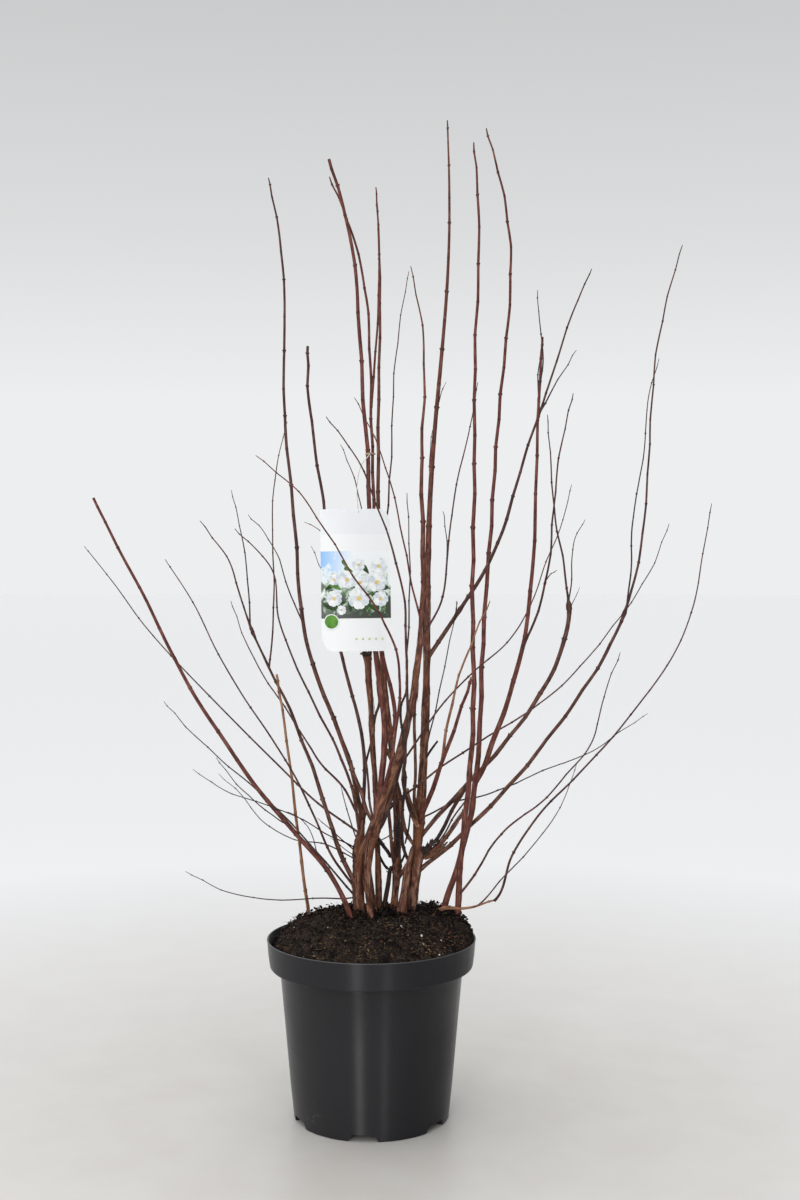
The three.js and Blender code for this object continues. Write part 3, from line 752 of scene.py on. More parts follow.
def ring_marks(limb):
    """The places along a limb that get a ring of points: evenly, and closer at its buds and its tip."""
    marks = [np.arange(0, limb.length, RING_STEP), [limb.length]]
    for node in limb.nodes:
        width = 0.8 * MM + 0.45 * limb.radius_at(node)
        marks.append(node + width * np.array([-2.2, -1.3, -0.75, -0.35, 0, 0.35, 0.75, 1.3, 2.2]))
    marks.append(limb.length - limb.radii[-1] * np.array([0.2, 0.6, 1.2, 2.2]))
    marks = np.unique(np.round(np.concatenate(marks), 5))
    return marks[(marks >= 0) & (marks <= limb.length)]


OLD_LOOKS = {"old": 1.0, "young": 0.55, "red": 0.22, "dark": 0.6, "dark_low": 1.0, "tan": 1.0,
             "tan_dark": 0.7, "twig": 0.25}
OLD_BELOW, YOUNG_ABOVE = 0.50, 0.86        # heights between which bark turns from old to young


def wear_of(heights, radii):
    """How far a limb's height and girth let its bark grow old, from 0 to 1."""
    low = np.clip((YOUNG_ABOVE - heights) / (YOUNG_ABOVE - OLD_BELOW), 0, 1)
    return low * np.clip((radii - 1.2 * MM) / (2.2 * MM), 0, 1)


def wave(marks, rng, shortest, longest):
    """A wave along a limb, its length and its start drawn at random."""
    return np.sin(marks / rng.uniform(shortest, longest) + rng.uniform(0, 6))


def limb_relief(marks, angles, rng):
    """Ridges that run along a limb and drift round it, and the broader lumps of its wood."""
    relief = np.zeros((len(marks), len(angles)))
    for waves, depth in ((1, 0.5), (2, 0.7), (3, 0.8), (5, 1.0), (7, 0.9), (10, 0.7)):
        drift = marks / rng.uniform(0.04, 0.2) + 1.5 * wave(marks, rng, 0.012, 0.03)
        swing = wave(marks, rng, 0.008, 0.03)
        phase = waves * angles[None, :] + drift[:, None] + rng.uniform(0, TURN)
        relief += depth * (0.6 + 0.5 * swing)[:, None] * np.cos(phase)
    lumps = sum(wave(marks, rng, 0.006, 0.02) for _ in range(3))
    return relief, lumps


def ring_buds(limb, marks, angles, worn, rng, size, knot):
    """Adds a swollen, darker ring at each pair of buds, fainter where the bark is worn."""
    for node, turn in zip(limb.nodes, limb.turns):
        radius = limb.radius_at(node)
        fade = (1 - 0.85 * np.interp(node, marks, worn)) * rng.uniform(0.5, 0.95)
        ring = np.exp(-((marks - node) / (0.7 * MM + 0.40 * radius)) ** 2) * fade
        np.maximum(knot, 0.9 * ring, out=knot)
        pair = np.cos(angles - turn) ** 2
        size += ring[:, None] * (0.16 * MM + radius * (0.03 + 0.20 * pair[None, :]))


def swell_skin(limb, marks, angles, around, size, knot, groove):
    """Adds the burrs, and the collars where shoots leave."""
    for place, direction, girth, reach in limb.swellings:
        ring = np.exp(-((marks - place) / (reach + 0.6 * girth)) ** 2)
        if direction is None:
            rough = np.cos(3 * angles + 700 * marks[:, None]) + np.cos(2 * angles - 900 * marks[:, None])
            size += ring[:, None] * girth * (0.75 + 0.22 * rough)
            # painted shade in the hollows of a burr
            np.maximum(groove, ring[:, None] * 0.35 * (rough < -0.2), out=groove)
        else:
            size += ring[:, None] * girth * (0.06 + 0.30 * np.clip(around @ direction, 0, 1))
            np.maximum(knot, 0.35 * ring, out=knot)


def shape_ends(limb, marks, base, size, knot):
    """Fits a limb's ends to what they meet, and rounds and darkens a growing tip."""
    left = limb.length - marks
    if limb.name in SHOOTS:                            # its ends narrow inside the limbs that they meet
        size *= (1 - 0.6 * np.exp(-marks / (2.0 * base[0])))[:, None]
        if isinstance(SHOOTS[limb.name][4], str):
            size *= (1 - 0.5 * np.exp(-left / (2.0 * base[-1])))[:, None]
    elif limb.is_joined:
        size *= (1 + 0.30 * np.exp(-marks / (7 * MM)))[:, None]
    elif limb.is_stem:
        size *= (1 + 0.25 * np.exp(-marks / (12 * MM)))[:, None]
    if not limb.is_cut:
        fade = np.clip(left / (2.2 * limb.radii[-1]), 0, 1)
        size *= (0.2 + 0.8 * np.sqrt(fade))[:, None]
        np.maximum(knot, 0.9 * np.clip(1 - left / (8 * MM), 0, 1) ** 0.3, out=knot)


def limb_surface(limb):
    """Points, faces, kinds of face and named values of a limb's skin."""
    rng = random.Random(limb.name + " skin")
    sides = 24 if limb.radii.max() > 5 * MM else 18 if limb.radii.max() > 2.6 * MM else 12
    marks = ring_marks(limb)
    middle = limb.at(marks, limb.points)
    _, across, deep = limb.ways_at(marks)
    base = np.interp(marks, limb.along, limb.radii)
    angles = np.arange(sides) * TURN / sides
    around = across[:, None] * np.cos(angles)[None, :, None] + deep[:, None] * np.sin(angles)[None, :, None]
    worn = wear_of(middle[:, 2], base)
    age = OLD_LOOKS[limb.look] * worn
    relief, lumps = limb_relief(marks, angles, rng)
    ridge = 0.010 + 0.052 * age
    size = base[:, None] * (1 + ridge[:, None] * relief + (0.012 + 0.025 * age)[:, None] * lumps[:, None])
    # painted shade in the grooves between the ridges, stronger on old bark
    groove = np.clip(-relief / 2.2 - 0.25, 0, 1) * (0.15 + 0.85 * age)[:, None]
    knot = np.zeros(len(marks))
    ring_buds(limb, marks, angles, worn, rng, size, knot)
    swell_skin(limb, marks, angles, around, size, knot, groove)
    shape_ends(limb, marks, base, size, knot)
    points = middle[:, None] + around * size[..., None]
    round_it = base[:, None] * np.cos(angles), base[:, None] * np.sin(angles)
    turned = np.broadcast_arrays(*round_it, marks[:, None])
    shares = {
        "limb": np.stack(turned, axis=2).reshape(-1, 3) + rng.uniform(0, 3),
        "age": np.repeat(age, sides),
        "knot": np.repeat(knot, sides),
        "groove": groove.ravel(),
    }
    faces = tube_faces(len(marks), sides)
    shows_wood = limb.is_cut and limb.look != "dark" and limb.name not in CAPPED_TIPS
    kinds = [0] * (len(faces) - 1) + [int(shows_wood)]
    return points.reshape(-1, 3), faces, kinds, shares


def bark_piece(name, limbs, look, slot, barks):
    """The skins of limbs that look alike, as one piece."""
    heap = Heap()
    for limb in limbs:
        heap.put(*limb_surface(limb))
    return heap.piece(name, [barks[look], barks["cut"]], slot)


def add_limbs(limbs, shoots, barks):
    for limb in (*limbs.values(), *shoots.values()):
        shape_limb(limb)
    for limb in limbs.values():
        piece = bark_piece(limb.name + "_bark", [limb], limb.look, limb.slot, barks)
        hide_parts(limb.name)
    for look, slot in SHOOT_SLOTS.items():
        alike = [shoot for shoot in shoots.values() if shoot.look == look]
        bark_piece("shoots_" + look, alike, look, slot, barks)


def make_barks():
    return {
        "old": bark_finish("bark_old", YOUNG_AMBER, OLD),
        "young": bark_finish("bark_young", YOUNG_BROWN, OLD),
        "red": bark_finish("bark_red", YOUNG_RED, OLD),
        "dark": bark_finish("bark_dark", YOUNG_DARK, OLD_DARK),
        # painted shade: the old bark low on the limb is near black
        "dark_low": bark_finish("bark_dark_low", YOUNG_BROWN, OLD_DARK),
        "twig": bark_finish("bark_twig", TWIG_GREY, OLD_DARK),
        "tan": bark_finish("bark_tan", TAN, TAN),
        "tan_dark": bark_finish("bark_brown", YOUNG_BROWN, TAN),
        "cut": speckled("cut_wood", (0.10, 0.065, 0.04), (0.30, 0.20, 0.12), 900),
    }


# ---------- Buds, burrs and loose bark ----------

BUD_LIMIT = 3.6 * MM                       # a limb with a larger radius than this has lost its buds
BUD_SIDES = 6
BUD_PROFILE = ((0.0, 0.55), (0.25, 0.95), (0.55, 0.90), (0.82, 0.50), (1.0, 0.12))   # (height, radius)


def bud_shape(foot, axis, out, length, width):
    """A small pointed bud, flattened against its shoot."""
    side = np.cross(axis, out)
    points = []
    for height, radius in BUD_PROFILE:
        for j in range(BUD_SIDES):
            turn = j * TURN / BUD_SIDES
            flat = out * 0.42 * math.cos(turn) + side * 0.5 * math.sin(turn)
            points.append(foot + axis * height * length + flat * radius * width)
    return points, tube_faces(len(BUD_PROFILE), BUD_SIDES)


def add_buds(limbs, finish):
    heap = Heap()
    rng = random.Random("buds")
    for limb in limbs:
        for node, turn in zip(limb.nodes, limb.turns):
            middle, radius = limb.at(node, limb.points), limb.radius_at(node)
            if radius > BUD_LIMIT:
                continue
            tangent, across, deep = limb.ways_at(node)
            for flip in (0, math.pi):
                angle = turn + flip
                out = across * math.cos(angle) + deep * math.sin(angle)
                axis = unit(tangent + out * rng.uniform(0.15, 0.5))
                outward = unit(out - axis * (out @ axis))
                length = (1.1 * MM + 0.5 * radius) * rng.uniform(0.8, 1.3)
                width = (0.7 * MM + 0.45 * radius) * rng.uniform(0.85, 1.15)
                heap.put(*bud_shape(middle + out * radius * 1.08, axis, outward, length, width))
    heap.piece("buds", [finish], "bark_young")


def lump_shape(centre, size, rng, stretch=1.0):
    """A small rough lump, longer one way than the others."""
    axis = unit(np.array([rng.gauss(0, 1) for _ in range(3)]))
    longer = rng.uniform(0.0, 1.1)
    points = []
    for point in LUMP_POINTS:
        drawn = point + axis * (point @ axis) * longer
        points.append(centre + drawn * size * rng.uniform(0.55, 1.3) * np.array([1, 1, stretch]))
    return points, LUMP_FACES


def make_lump():
    shape = bmesh.new()
    bmesh.ops.create_icosphere(shape, subdivisions=1, radius=0.5)
    points = [np.array(v.co) for v in shape.verts]
    faces = [[v.index for v in face.verts] for face in shape.faces]
    shape.free()
    return points, faces


LUMP_POINTS, LUMP_FACES = make_lump()
# Burrs: pixel, the limb that it is on, its spread in mm and how many lumps it has
BURRS = (((424.5, 851), "stem_right", 3.4, 40), ((428.5, 847.5), "stem_right", 3.2, 44),
         ((432.5, 843.5), "stem_right", 2.8, 36), ((436, 840.5), "stem_right", 2.2, 20),
         ((396.8, 822), "stem_back", 2.0, 14), ((364.5, 653.5), "stem_inner", 2.6, 34),
         ((369, 654), "stem_inner", 2.8, 34))


def add_burrs(limbs, finishes):
    """Rough dark knobs where shoots were cut back year after year, bristling with dead buds."""
    heap = Heap()
    rng = random.Random("burrs")
    for pixel, host, spread, count in BURRS:
        centre = at_pixel(pixel, limbs[host].depth_at(pixel))
        for _ in range(count):
            place = centre + np.array([rng.gauss(0, 0.6) for _ in range(3)]) * spread * MM
            kind = rng.choice((0, 0, 0, 1))
            heap.put(*lump_shape(place, rng.uniform(2.0, 4.4) * MM, rng, rng.uniform(0.8, 1.4)), kind)
            axis = unit(np.array([rng.uniform(-0.6, 0.5), rng.uniform(-0.7, 0.4), 1.0]))
            outward = unit(np.cross(axis, np.array([1.0, 0.2, 0])))
            length, width = rng.uniform(2.5, 5.0) * MM, rng.uniform(1.2, 2.4) * MM
            heap.put(*bud_shape(place, axis, outward, length, width), kind)
    heap.piece("burrs", finishes, "bark_old", smooth=False)


STRIP_STEPS = 8


def strip_shape(limb, place, angle, length, width, lift, clear=0.0):
    """A strip of bark that has come loose at one end and curls away from its stem."""
    points = []
    for i in range(STRIP_STEPS):
        share = i / (STRIP_STEPS - 1)
        along = min(max(place + share * length, 0), limb.length)
        tangent, across, deep = limb.ways_at(along)
        out = across * math.cos(angle) + deep * math.sin(angle)
        side = np.cross(tangent, out)
        half = width * min(1, 0.3 + 3 * share) * (1 - 0.75 * share ** 2) / 2
        away = limb.radius_at(along) * 1.02 + clear + lift * share ** 2
        centre = limb.at(along, limb.points) + out * away
        for across_share, up in ((-1, 0), (1, 0), (1, 0.35 * MM), (-1, 0.35 * MM)):
            points.append(centre + side * half * across_share + out * up)
    return points, tube_faces(STRIP_STEPS, 4)


# Large peels: limb, row of the photograph at the lower end, how far round to the right, length, width and
# lift in mm, and the finish's number
# Finish 3 is pale loose bark whose paleness is partly a painted highlight.
PEELS = (("stem_right", 874, 0.62, 24, 3.4, 1.2, 3), ("stem_right", 866, 0.95, 18, 2.6, 1.8, 3),
         ("stem_right", 911, 0.10, 28, 3.0, 0.5, 1), ("stem_right", 909, 0.55, 22, 2.6, 0.6, 1),
         ("stem_left", 905, -0.30, 30, 2.4, 0.5, 1))


def add_loose_bark(limbs, finishes):
    heap = Heap()
    rng = random.Random("loose bark")
    for name, row, right, length, width, lift, kind in PEELS:
        limb = next(limb for limb in limbs if limb.name == name)
        place = limb.along_at_row(row)
        facing = np.array([right, -1.0, 0])
        angle = math.atan2(facing @ limb.at(place, limb.deep), facing @ limb.at(place, limb.across))
        heap.put(*strip_shape(limb, place, angle, length * MM, width * MM, lift * MM, 1.0 * MM), kind)
    for limb in limbs:
        if limb.look not in ("old", "tan_dark"):
            continue
        for _ in range(int(limb.length / (9 * MM))):
            place = rng.uniform(0.02, 0.95) * limb.length
            if limb.at(place, limb.points)[2] > 0.80 or limb.radius_at(place) < 2.6 * MM:
                continue
            length = rng.choice((-1, 1)) * rng.uniform(8, 34) * MM
            shape = strip_shape(limb, place, rng.uniform(0, TURN), length, rng.uniform(0.9, 2.6) * MM,
                                rng.choice((0.2, 0.4, 0.8, 1.6)) * rng.uniform(0.5, 1.2) * MM)
            heap.put(*shape, kind=rng.choice((0, 0, 1, 2)))
    heap.piece("loose_bark", finishes, "bark_old", smooth=False)


# ---------- Pot ----------

POT_TURNS = 180
POT_HEIGHT, RIM_DEPTH = 257, 41
BODY_RADIUS, BASE_RADIUS = 131, 111.5
RIM_RADIUS, RIM_LOW_RADIUS = 150, 146
WALL = 2
CHANNEL_COUNT, CHANNEL_FIRST = 6, -95
CHANNEL_WIDTH, ROOF_WIDTH, ROOF_HEIGHT, CHANNEL_END = 44, 30, 10.5, 62
DRAIN_RADIUS, DRAIN_PLACE = 5.5, 84


def arc(centre, radius, start, end, steps=4):
    turns = [math.radians(start + (end - start) * i / steps) for i in range(steps + 1)]
    return [(centre[0] + radius * math.cos(t), centre[1] + radius * math.sin(t)) for t in turns]


def as_object(shape, name):
    mesh = bpy.data.meshes.new(name)
    shape.to_mesh(mesh)
    shape.free()
    return in_scene(name, mesh)


def solid(name, points, faces):
    """An object of a closed shape, from its points in mm."""
    shape = bmesh.new()
    corners = [shape.verts.new((x * MM, y * MM, z * MM)) for x, y, z in points]
    for face in faces:
        shape.faces.new([corners[i] for i in face])
    bmesh.ops.recalc_face_normals(shape, faces=shape.faces)
    return as_object(shape, name)


def lathe(name, profile):
    """A closed solid from a profile of (radius, height) in mm that starts and ends on the axis."""
    points, faces, rings = [], [], []
    for radius, height in profile:
        sides = POT_TURNS if radius else 1
        rings.append([len(points) + i % sides for i in range(POT_TURNS)])
        points += [(x, y, height) for x, y in circle(radius, sides)]
    for low, high in zip(rings, rings[1:]):
        for i in range(POT_TURNS):
            k = (i + 1) % POT_TURNS
            corners = (low[i], low[k], high[k], high[i])
            faces.append(list(dict.fromkeys(corners)))     # a triangle where two of them are one point
    return solid(name, points, faces)


def channel(angle, grow):
    """One channel across the pot's underside, larger by grow on every side."""
    half, roof, height = CHANNEL_WIDTH / 2 + grow, ROOF_WIDTH / 2 + grow, ROOF_HEIGHT + grow
    section = [(-half - 2, -5), (half + 2, -5), (half, 0), (roof + 1, height - 1.2), (roof - 1, height),
               (-roof + 1, height), (-roof - 1, height - 1.2), (-half, 0)]
    cos, sin = math.cos(math.radians(angle)), math.sin(math.radians(angle))
    points = []
    for out in (CHANNEL_END - grow, RIM_RADIUS):
        points += [(out * cos - side * sin, out * sin + side * cos, up) for side, up in section]
    return solid("channel", points, tube_faces(2, len(section)))


def drain(angle):
    shape = bmesh.new()
    bmesh.ops.create_cone(shape, cap_ends=True, segments=24, radius1=DRAIN_RADIUS * MM,
                          radius2=DRAIN_RADIUS * MM, depth=30 * MM)
    turn = math.radians(angle)
    place = Vector((DRAIN_PLACE * math.cos(turn) * MM, DRAIN_PLACE * math.sin(turn) * MM, ROOF_HEIGHT * MM))
    bmesh.ops.translate(shape, verts=shape.verts, vec=place)
    return as_object(shape, "drain")


def cut_away(target, cutters):
    for cutter in cutters:
        modifier = target.modifiers.new("cut", "BOOLEAN")
        modifier.operation = "DIFFERENCE"
        modifier.solver = "EXACT"
        modifier.object = cutter
    bpy.context.view_layer.update()
    evaluated = target.evaluated_get(bpy.context.evaluated_depsgraph_get())
    mesh = bpy.data.meshes.new_from_object(evaluated)
    target.modifiers.clear()
    target.data = mesh
    for cutter in cutters:
        bpy.data.objects.remove(cutter)
    return target


def pot_profiles():
    """The outside and the inside of the pot as (radius, height) in mm."""
    shelf = POT_HEIGHT - RIM_DEPTH
    outside = [(0, 0), (60, 0), (BASE_RADIUS - 4, 0)]
    outside += arc((BASE_RADIUS - 3, 3), 3, -80, -5)
    outside += [(BASE_RADIUS + 5, 50), (BASE_RADIUS + 12, 130), (BODY_RADIUS - 0.2, shelf - 6)]
    outside += [(BODY_RADIUS + 0.5, shelf - 5), (BODY_RADIUS + 0.9, shelf - 3)]
    outside += [(BODY_RADIUS + 0.5, shelf - 0.8), (BODY_RADIUS + 1.2, shelf)]
    outside += arc((RIM_LOW_RADIUS - 5, shelf + 5), 5, -88, -3, 6)
    outside += [(RIM_LOW_RADIUS + 2, shelf + 20), (RIM_RADIUS - 0.6, POT_HEIGHT - 3)]
    outside += arc((RIM_RADIUS - 1.1, POT_HEIGHT - 1.1), 1.1, 0, 180, 8)
    top_inside = RIM_RADIUS - 2.2
    inside = [(top_inside, POT_HEIGHT - 3), (RIM_LOW_RADIUS - WALL, shelf + 8)]
    inside += [(RIM_LOW_RADIUS - WALL - 3, shelf + 3.5), (BODY_RADIUS - WALL, shelf + 2)]
    inside += [(BASE_RADIUS - WALL + 1, 6), (BASE_RADIUS - WALL - 3, WALL), (0, WALL)]
    return outside, inside


def add_pot():
    outside, inside = pot_profiles()
    angles = [CHANNEL_FIRST + i * 360 / CHANNEL_COUNT for i in range(CHANNEL_COUNT)]
    space = [(0, POT_HEIGHT + 5), (RIM_RADIUS - 2.0, POT_HEIGHT + 5)] + inside
    space = cut_away(lathe("space", space[::-1]), [channel(angle, WALL) for angle in angles])
    body = lathe("pot_shell", outside + [(0, POT_HEIGHT)])
    cutters = [space] + [channel(angle, 0) for angle in angles] + [drain(angle) for angle in angles]
    pot = cut_away(body, cutters)
    mesh = pot.data
    mesh.materials.clear()
    mesh.materials.append(pot_finish())
    mesh.polygons.foreach_set("material_index", [0] * len(mesh.polygons))
    mesh.polygons.foreach_set("use_smooth", [True] * len(mesh.polygons))
    mesh.set_sharp_from_angle(angle=SHARP)
    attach(pot, "root")
    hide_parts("pot")


# ---------- Soil ----------

SOIL_EDGE_RADIUS = 146.2
SOIL_RINGS, SOIL_TURNS = 62, 300
SOIL_BELOW = ((143.5, 225), (128.4, 216), (109.2, 15))     # its outside in the pot: (radius, height)
SOIL_EDGE_HEIGHT, SOIL_RISE = 255, 32
MOUND, DIP = (108, 6, 38), (-138, -26, 58)                 # x, y and spread


def hill(x, y, place):
    """How high a round hill is at (x, y), from 0 to 1."""
    x0, y0, spread = place
    return math.exp(-((x - x0) ** 2 + (y - y0) ** 2) / (2 * spread ** 2))


def soil_height(x, y):
    """The soil's height in mm at a place in mm, with its lumps and crumbs."""
    radius = math.hypot(x, y)
    fall = max(0.0, radius - 60) / 90
    height = SOIL_EDGE_HEIGHT + SOIL_RISE * (1 - fall * fall) + 16 * hill(x, y, MOUND)
    dip = hill(x, y, DIP)
    height -= (3 + 27 * dip) * math.exp(-(SOIL_EDGE_RADIUS - radius) / (14 - 2 * dip))
    inner = min(1.0, max(0.0, (SOIL_EDGE_RADIUS - radius) / 14))
    rise = 3.4 * noise.noise((x / 26, y / 26, 1)) + 2.8 * noise.noise((x / 10, y / 10, 2))
    crumb = 1.7 * noise.noise((x / 4.2, y / 4.2, 3)) + 0.9 * noise.noise((x / 2.1, y / 2.1, 4))
    return height + (rise * (0.25 + 0.75 * inner) + crumb)


def add_soil():
    points = [on_soil(0, 0)]
    for i in range(1, SOIL_RINGS + 1):
        ring = circle(SOIL_EDGE_RADIUS * i / SOIL_RINGS, SOIL_TURNS, 0.5 * (i % 2))
        points += [on_soil(x, y) for x, y in ring]
    for radius, height in SOIL_BELOW:
        points += [(x * MM, y * MM, height * MM) for x, y in circle(radius, SOIL_TURNS)]
    faces = disc_faces(SOIL_RINGS + len(SOIL_BELOW), SOIL_TURNS)
    last = len(points) - SOIL_TURNS
    faces.append([last + j for j in range(SOIL_TURNS)][::-1])
    piece = add_piece("soil_bed", points, faces, [soil_finish()], "soil")
    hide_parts("soil")


CRUMB_REACH = 144                          # how far from the middle crumbs lie, in mm


def soil_place(rng):
    while True:
        x, y = rng.uniform(-CRUMB_REACH, CRUMB_REACH), rng.uniform(-CRUMB_REACH, CRUMB_REACH)
        if math.hypot(x, y) < CRUMB_REACH:
            return x, y


def on_soil(x, y, lift=0.0):
    return np.array([x * MM, y * MM, (soil_height(x, y) + lift) * MM])


def fibre_shape(start, rng, length, radius, rises=(0.0, 0.0, 0.1, 0.4)):
    """A thin crooked fibre that lies on the soil or sticks up out of it."""
    turn = rng.uniform(0, TURN)
    rise = rng.choice(rises) * rng.uniform(0.3, 1.2)
    heading = unit(np.array([math.cos(turn), math.sin(turn), rise]))
    knots = [start]
    for _ in range(4):
        turned = heading + np.array([rng.uniform(-0.5, 0.5) for _ in range(3)])
        heading = unit(turned + np.array([0, 0, -0.12]))
        knots.append(knots[-1] + heading * length / 4)
    knots = np.array(knots)
    _, across, deep = frames_along(knots)
    points = []
    for knot, a, d, share in zip(knots, across, deep, (0.9, 1, 0.85, 0.6, 0.25)):
        for j in range(3):
            turn = j * TURN / 3
            points.append(knot + (a * math.cos(turn) + d * math.sin(turn)) * radius * share)
    return points, tube_faces(5, 3)


def chip_shape(centre, rng, length, width):
    """A flat sliver of bark or straw."""
    turn, tilt = rng.uniform(0, TURN), rng.uniform(-0.5, 0.5)
    along = unit(np.array([math.cos(turn), math.sin(turn), tilt]))
    side = unit(np.cross(along, UP + along * 0.3))
    up = np.cross(side, along)
    points = []
    for share, half in ((-0.5, 0.35), (-0.2, 0.5), (0.25, 0.42), (0.5, 0.12)):
        middle = centre + along * share * length
        for a, b in ((-1, 0), (1, 0), (1, 1), (-1, 1)):
            points.append(middle + side * a * half * width + up * b * 0.35 * MM)
    return points, tube_faces(4, 4)


# Ragged clumps, round the stems' feet and on the skyline: x, y and spread in mm, how many, how high they lie
SOIL_CLUMPS = ((-12, 0, 12, 90, 9), (10, 8, 12, 90, 10), (32, 6, 12, 90, 10), (56, 10, 11, 80, 9),
               (76, 16, 10, 60, 7), (-44, 40, 16, 70, 7), (-86, 26, 18, 70, 7), (-124, 10, 12, 50, 6),
               (104, 8, 16, 70, 7), (128, 10, 9, 50, 8), (0, 60, 26, 80, 5), (60, 70, 26, 70, 5),
               (-30, -50, 30, 60, 3), (50, -50, 30, 60, 3), (124, -7, 6, 60, 8), (86, -4, 7, 40, 5))


def add_soil_crumbs(limbs):
    rng = random.Random("crumbs")
    heap = Heap()
    for _ in range(3000):
        x, y = soil_place(rng)
        size = rng.choice((1.2, 1.6, 2.2, 3.0, 4.4)) * rng.uniform(0.7, 1.2) * MM
        heap.put(*lump_shape(on_soil(x, y, 0.1), size, rng, 0.7), kind=rng.choice((0, 0, 0, 0, 1, 1, 2)))
    for x0, y0, spread, count, lift in SOIL_CLUMPS:
        for _ in range(count):
            x, y = x0 + rng.gauss(0, spread), y0 + rng.gauss(0, spread)
            if math.hypot(x, y) < 141:
                centre = on_soil(x, y, lift * rng.random() ** 1.5)
                size = rng.choice((1.6, 2.2, 3.0, 4.6)) * rng.uniform(0.8, 1.2) * MM
                heap.put(*lump_shape(centre, size, rng, 0.9), kind=rng.choice((0, 0, 0, 1)))
    for limb in limbs:
        for _ in range(26 if limb.is_stem else 0):     # soil heaped against each stem
            turn, away = rng.uniform(0, TURN), rng.uniform(0.8, 2.4)
            out = limb.radius_at(FOOT_DEPTH) * away + 1.5 * MM
            side = np.array([math.cos(turn), math.sin(turn), 0]) * out
            lift = np.array([0, 0, rng.uniform(-3, 7) * MM / away])
            centre = limb.at(FOOT_DEPTH, limb.points) + side + lift
            heap.put(*lump_shape(centre, rng.uniform(2.5, 6) * MM, rng, 0.9), kind=rng.choice((0, 0, 0, 1)))
    finishes = speckles(
        ("crumb_black", (0.005, 0.004, 0.004), (0.013, 0.009, 0.008)),
        ("crumb_brown", (0.010, 0.0075, 0.006), (0.030, 0.021, 0.015)),
        ("crumb_rust", (0.030, 0.016, 0.010), (0.075, 0.040, 0.024)),
        Roughness=1.0, Specular_IOR_Level=0.05,
    )
    heap.piece("soil_crumbs", finishes, "soil", smooth=False)


def add_soil_fibres():
    rng = random.Random("fibres")
    heap = Heap()
    for _ in range(3600):
        x, y = soil_place(rng)
        shape = fibre_shape(on_soil(x, y, 0.2), rng, rng.uniform(4, 12) * MM, rng.uniform(0.16, 0.44) * MM)
        kind = rng.choice((0, 0, 0, 0, 0, 1, 1, 2))
        if inside_rim(shape[0]):
            heap.put(*shape, kind)
    for x0, y0, spread, count, lift in SOIL_CLUMPS:    # short bristles that stand out of the ragged clumps
        for _ in range(count // 2):
            x, y = x0 + rng.gauss(0, spread), y0 + rng.gauss(0, spread)
            shape = fibre_shape(on_soil(x, y, rng.uniform(0, lift)), rng, rng.uniform(3, 8) * MM,
                                rng.uniform(0.5, 1.1) * MM, (0.2, 0.6, 1.2))
            if inside_rim(shape[0]):
                heap.put(*shape, 0)
    heap.piece("soil_fibres", [
        speckled("fibre_dark", (0.010, 0.007, 0.006), (0.032, 0.019, 0.013)),
        speckled("fibre_rust", (0.036, 0.018, 0.011), (0.088, 0.044, 0.025)),
        speckled("fibre_ochre", (0.075, 0.046, 0.025), (0.165, 0.108, 0.060)),
    ], "soil", smooth=False)


def inside_rim(points):
    return max(math.hypot(x, y) for x, y, _ in points) < 143 * MM


# Where the photograph shows lighter bits on the soil: x, y in mm, spread, how many, and the finish's number
BIT_PATCHES = ((0, 0, 95, 110, 0), (34, -70, 18, 60, 1), (-62, -108, 26, 60, 1), (-4, -124, 16, 44, 1),
               (82, -70, 40, 60, 0), (85, -108, 22, 60, 2), (40, -30, 30, 26, 3), (0, -60, 90, 30, 3),
               (72, -104, 16, 40, 1), (112, -60, 18, 40, 2))
# Grains of perlite: x, y and size in mm
PERLITE = ((71, -84, 5.2), (74, -98, 3.6), (95, -107, 3.6), (43, -70, 3.0), (10, -40, 1.8), (52, -88, 1.8),
           (98, -78, 1.8), (30, -62, 1.6), (-60, -60, 1.8), (20, 95, 2.4), (-85, 40, 2.0), (60, 100, 2.8),
           (-20, 120, 2.2), (110, 60, 2.6), (-110, -20, 1.8))


def add_soil_bits():
    """Golden chips, rusty slivers, moss and grains of perlite."""
    rng = random.Random("bits")
    heap = Heap()
    for x0, y0, spread, count, kind in BIT_PATCHES:
        for _ in range(count):
            x, y = x0 + rng.gauss(0, 0.6) * spread, y0 + rng.gauss(0, 0.6) * spread
            if math.hypot(x, y) < 143:
                centre = on_soil(x, y, rng.uniform(0.2, 1.4))
                if rng.random() < 0.6:
                    heap.put(*lump_shape(centre, rng.choice((0.8, 1.2, 1.8, 2.8)) * MM, rng, 0.6), kind)
                else:
                    length, width = rng.uniform(1.2, 4) * MM, rng.uniform(0.8, 2) * MM
                    heap.put(*chip_shape(centre, rng, length, width), kind)
    for x, y, size in PERLITE:
        heap.put(*lump_shape(on_soil(x, y, 0.6), size * MM, rng, 0.8), 4)
    heap.piece("soil_bits", [
        speckled("chip_brown", (0.045, 0.026, 0.015), (0.115, 0.070, 0.038)),
        speckled("chip_gold", (0.045, 0.028, 0.014), (0.210, 0.135, 0.060), 260),
        speckled("chip_rust", (0.045, 0.020, 0.011), (0.210, 0.085, 0.034), 260),
        speckled("moss", (0.055, 0.058, 0.020), (0.120, 0.120, 0.045)),
        speckled("perlite", (0.34, 0.33, 0.30), (0.62, 0.60, 0.56)),
    ], "soil", smooth=False)


# ---------- Label ----------

CARD_LEFT, CARD_RIGHT, CARD_BOTTOM, CARD_TOP = -68, 28, 673, 869
CARD_FRONT, CARD_THICKNESS = -79, 0.7
CARD_LEAN = 0.012                          # in radians
TOP_CUT, BOTTOM_CUT = (16, 21), (17, 25)
PICTURE_BOTTOM, PICTURE_TOP = 718.5, 811


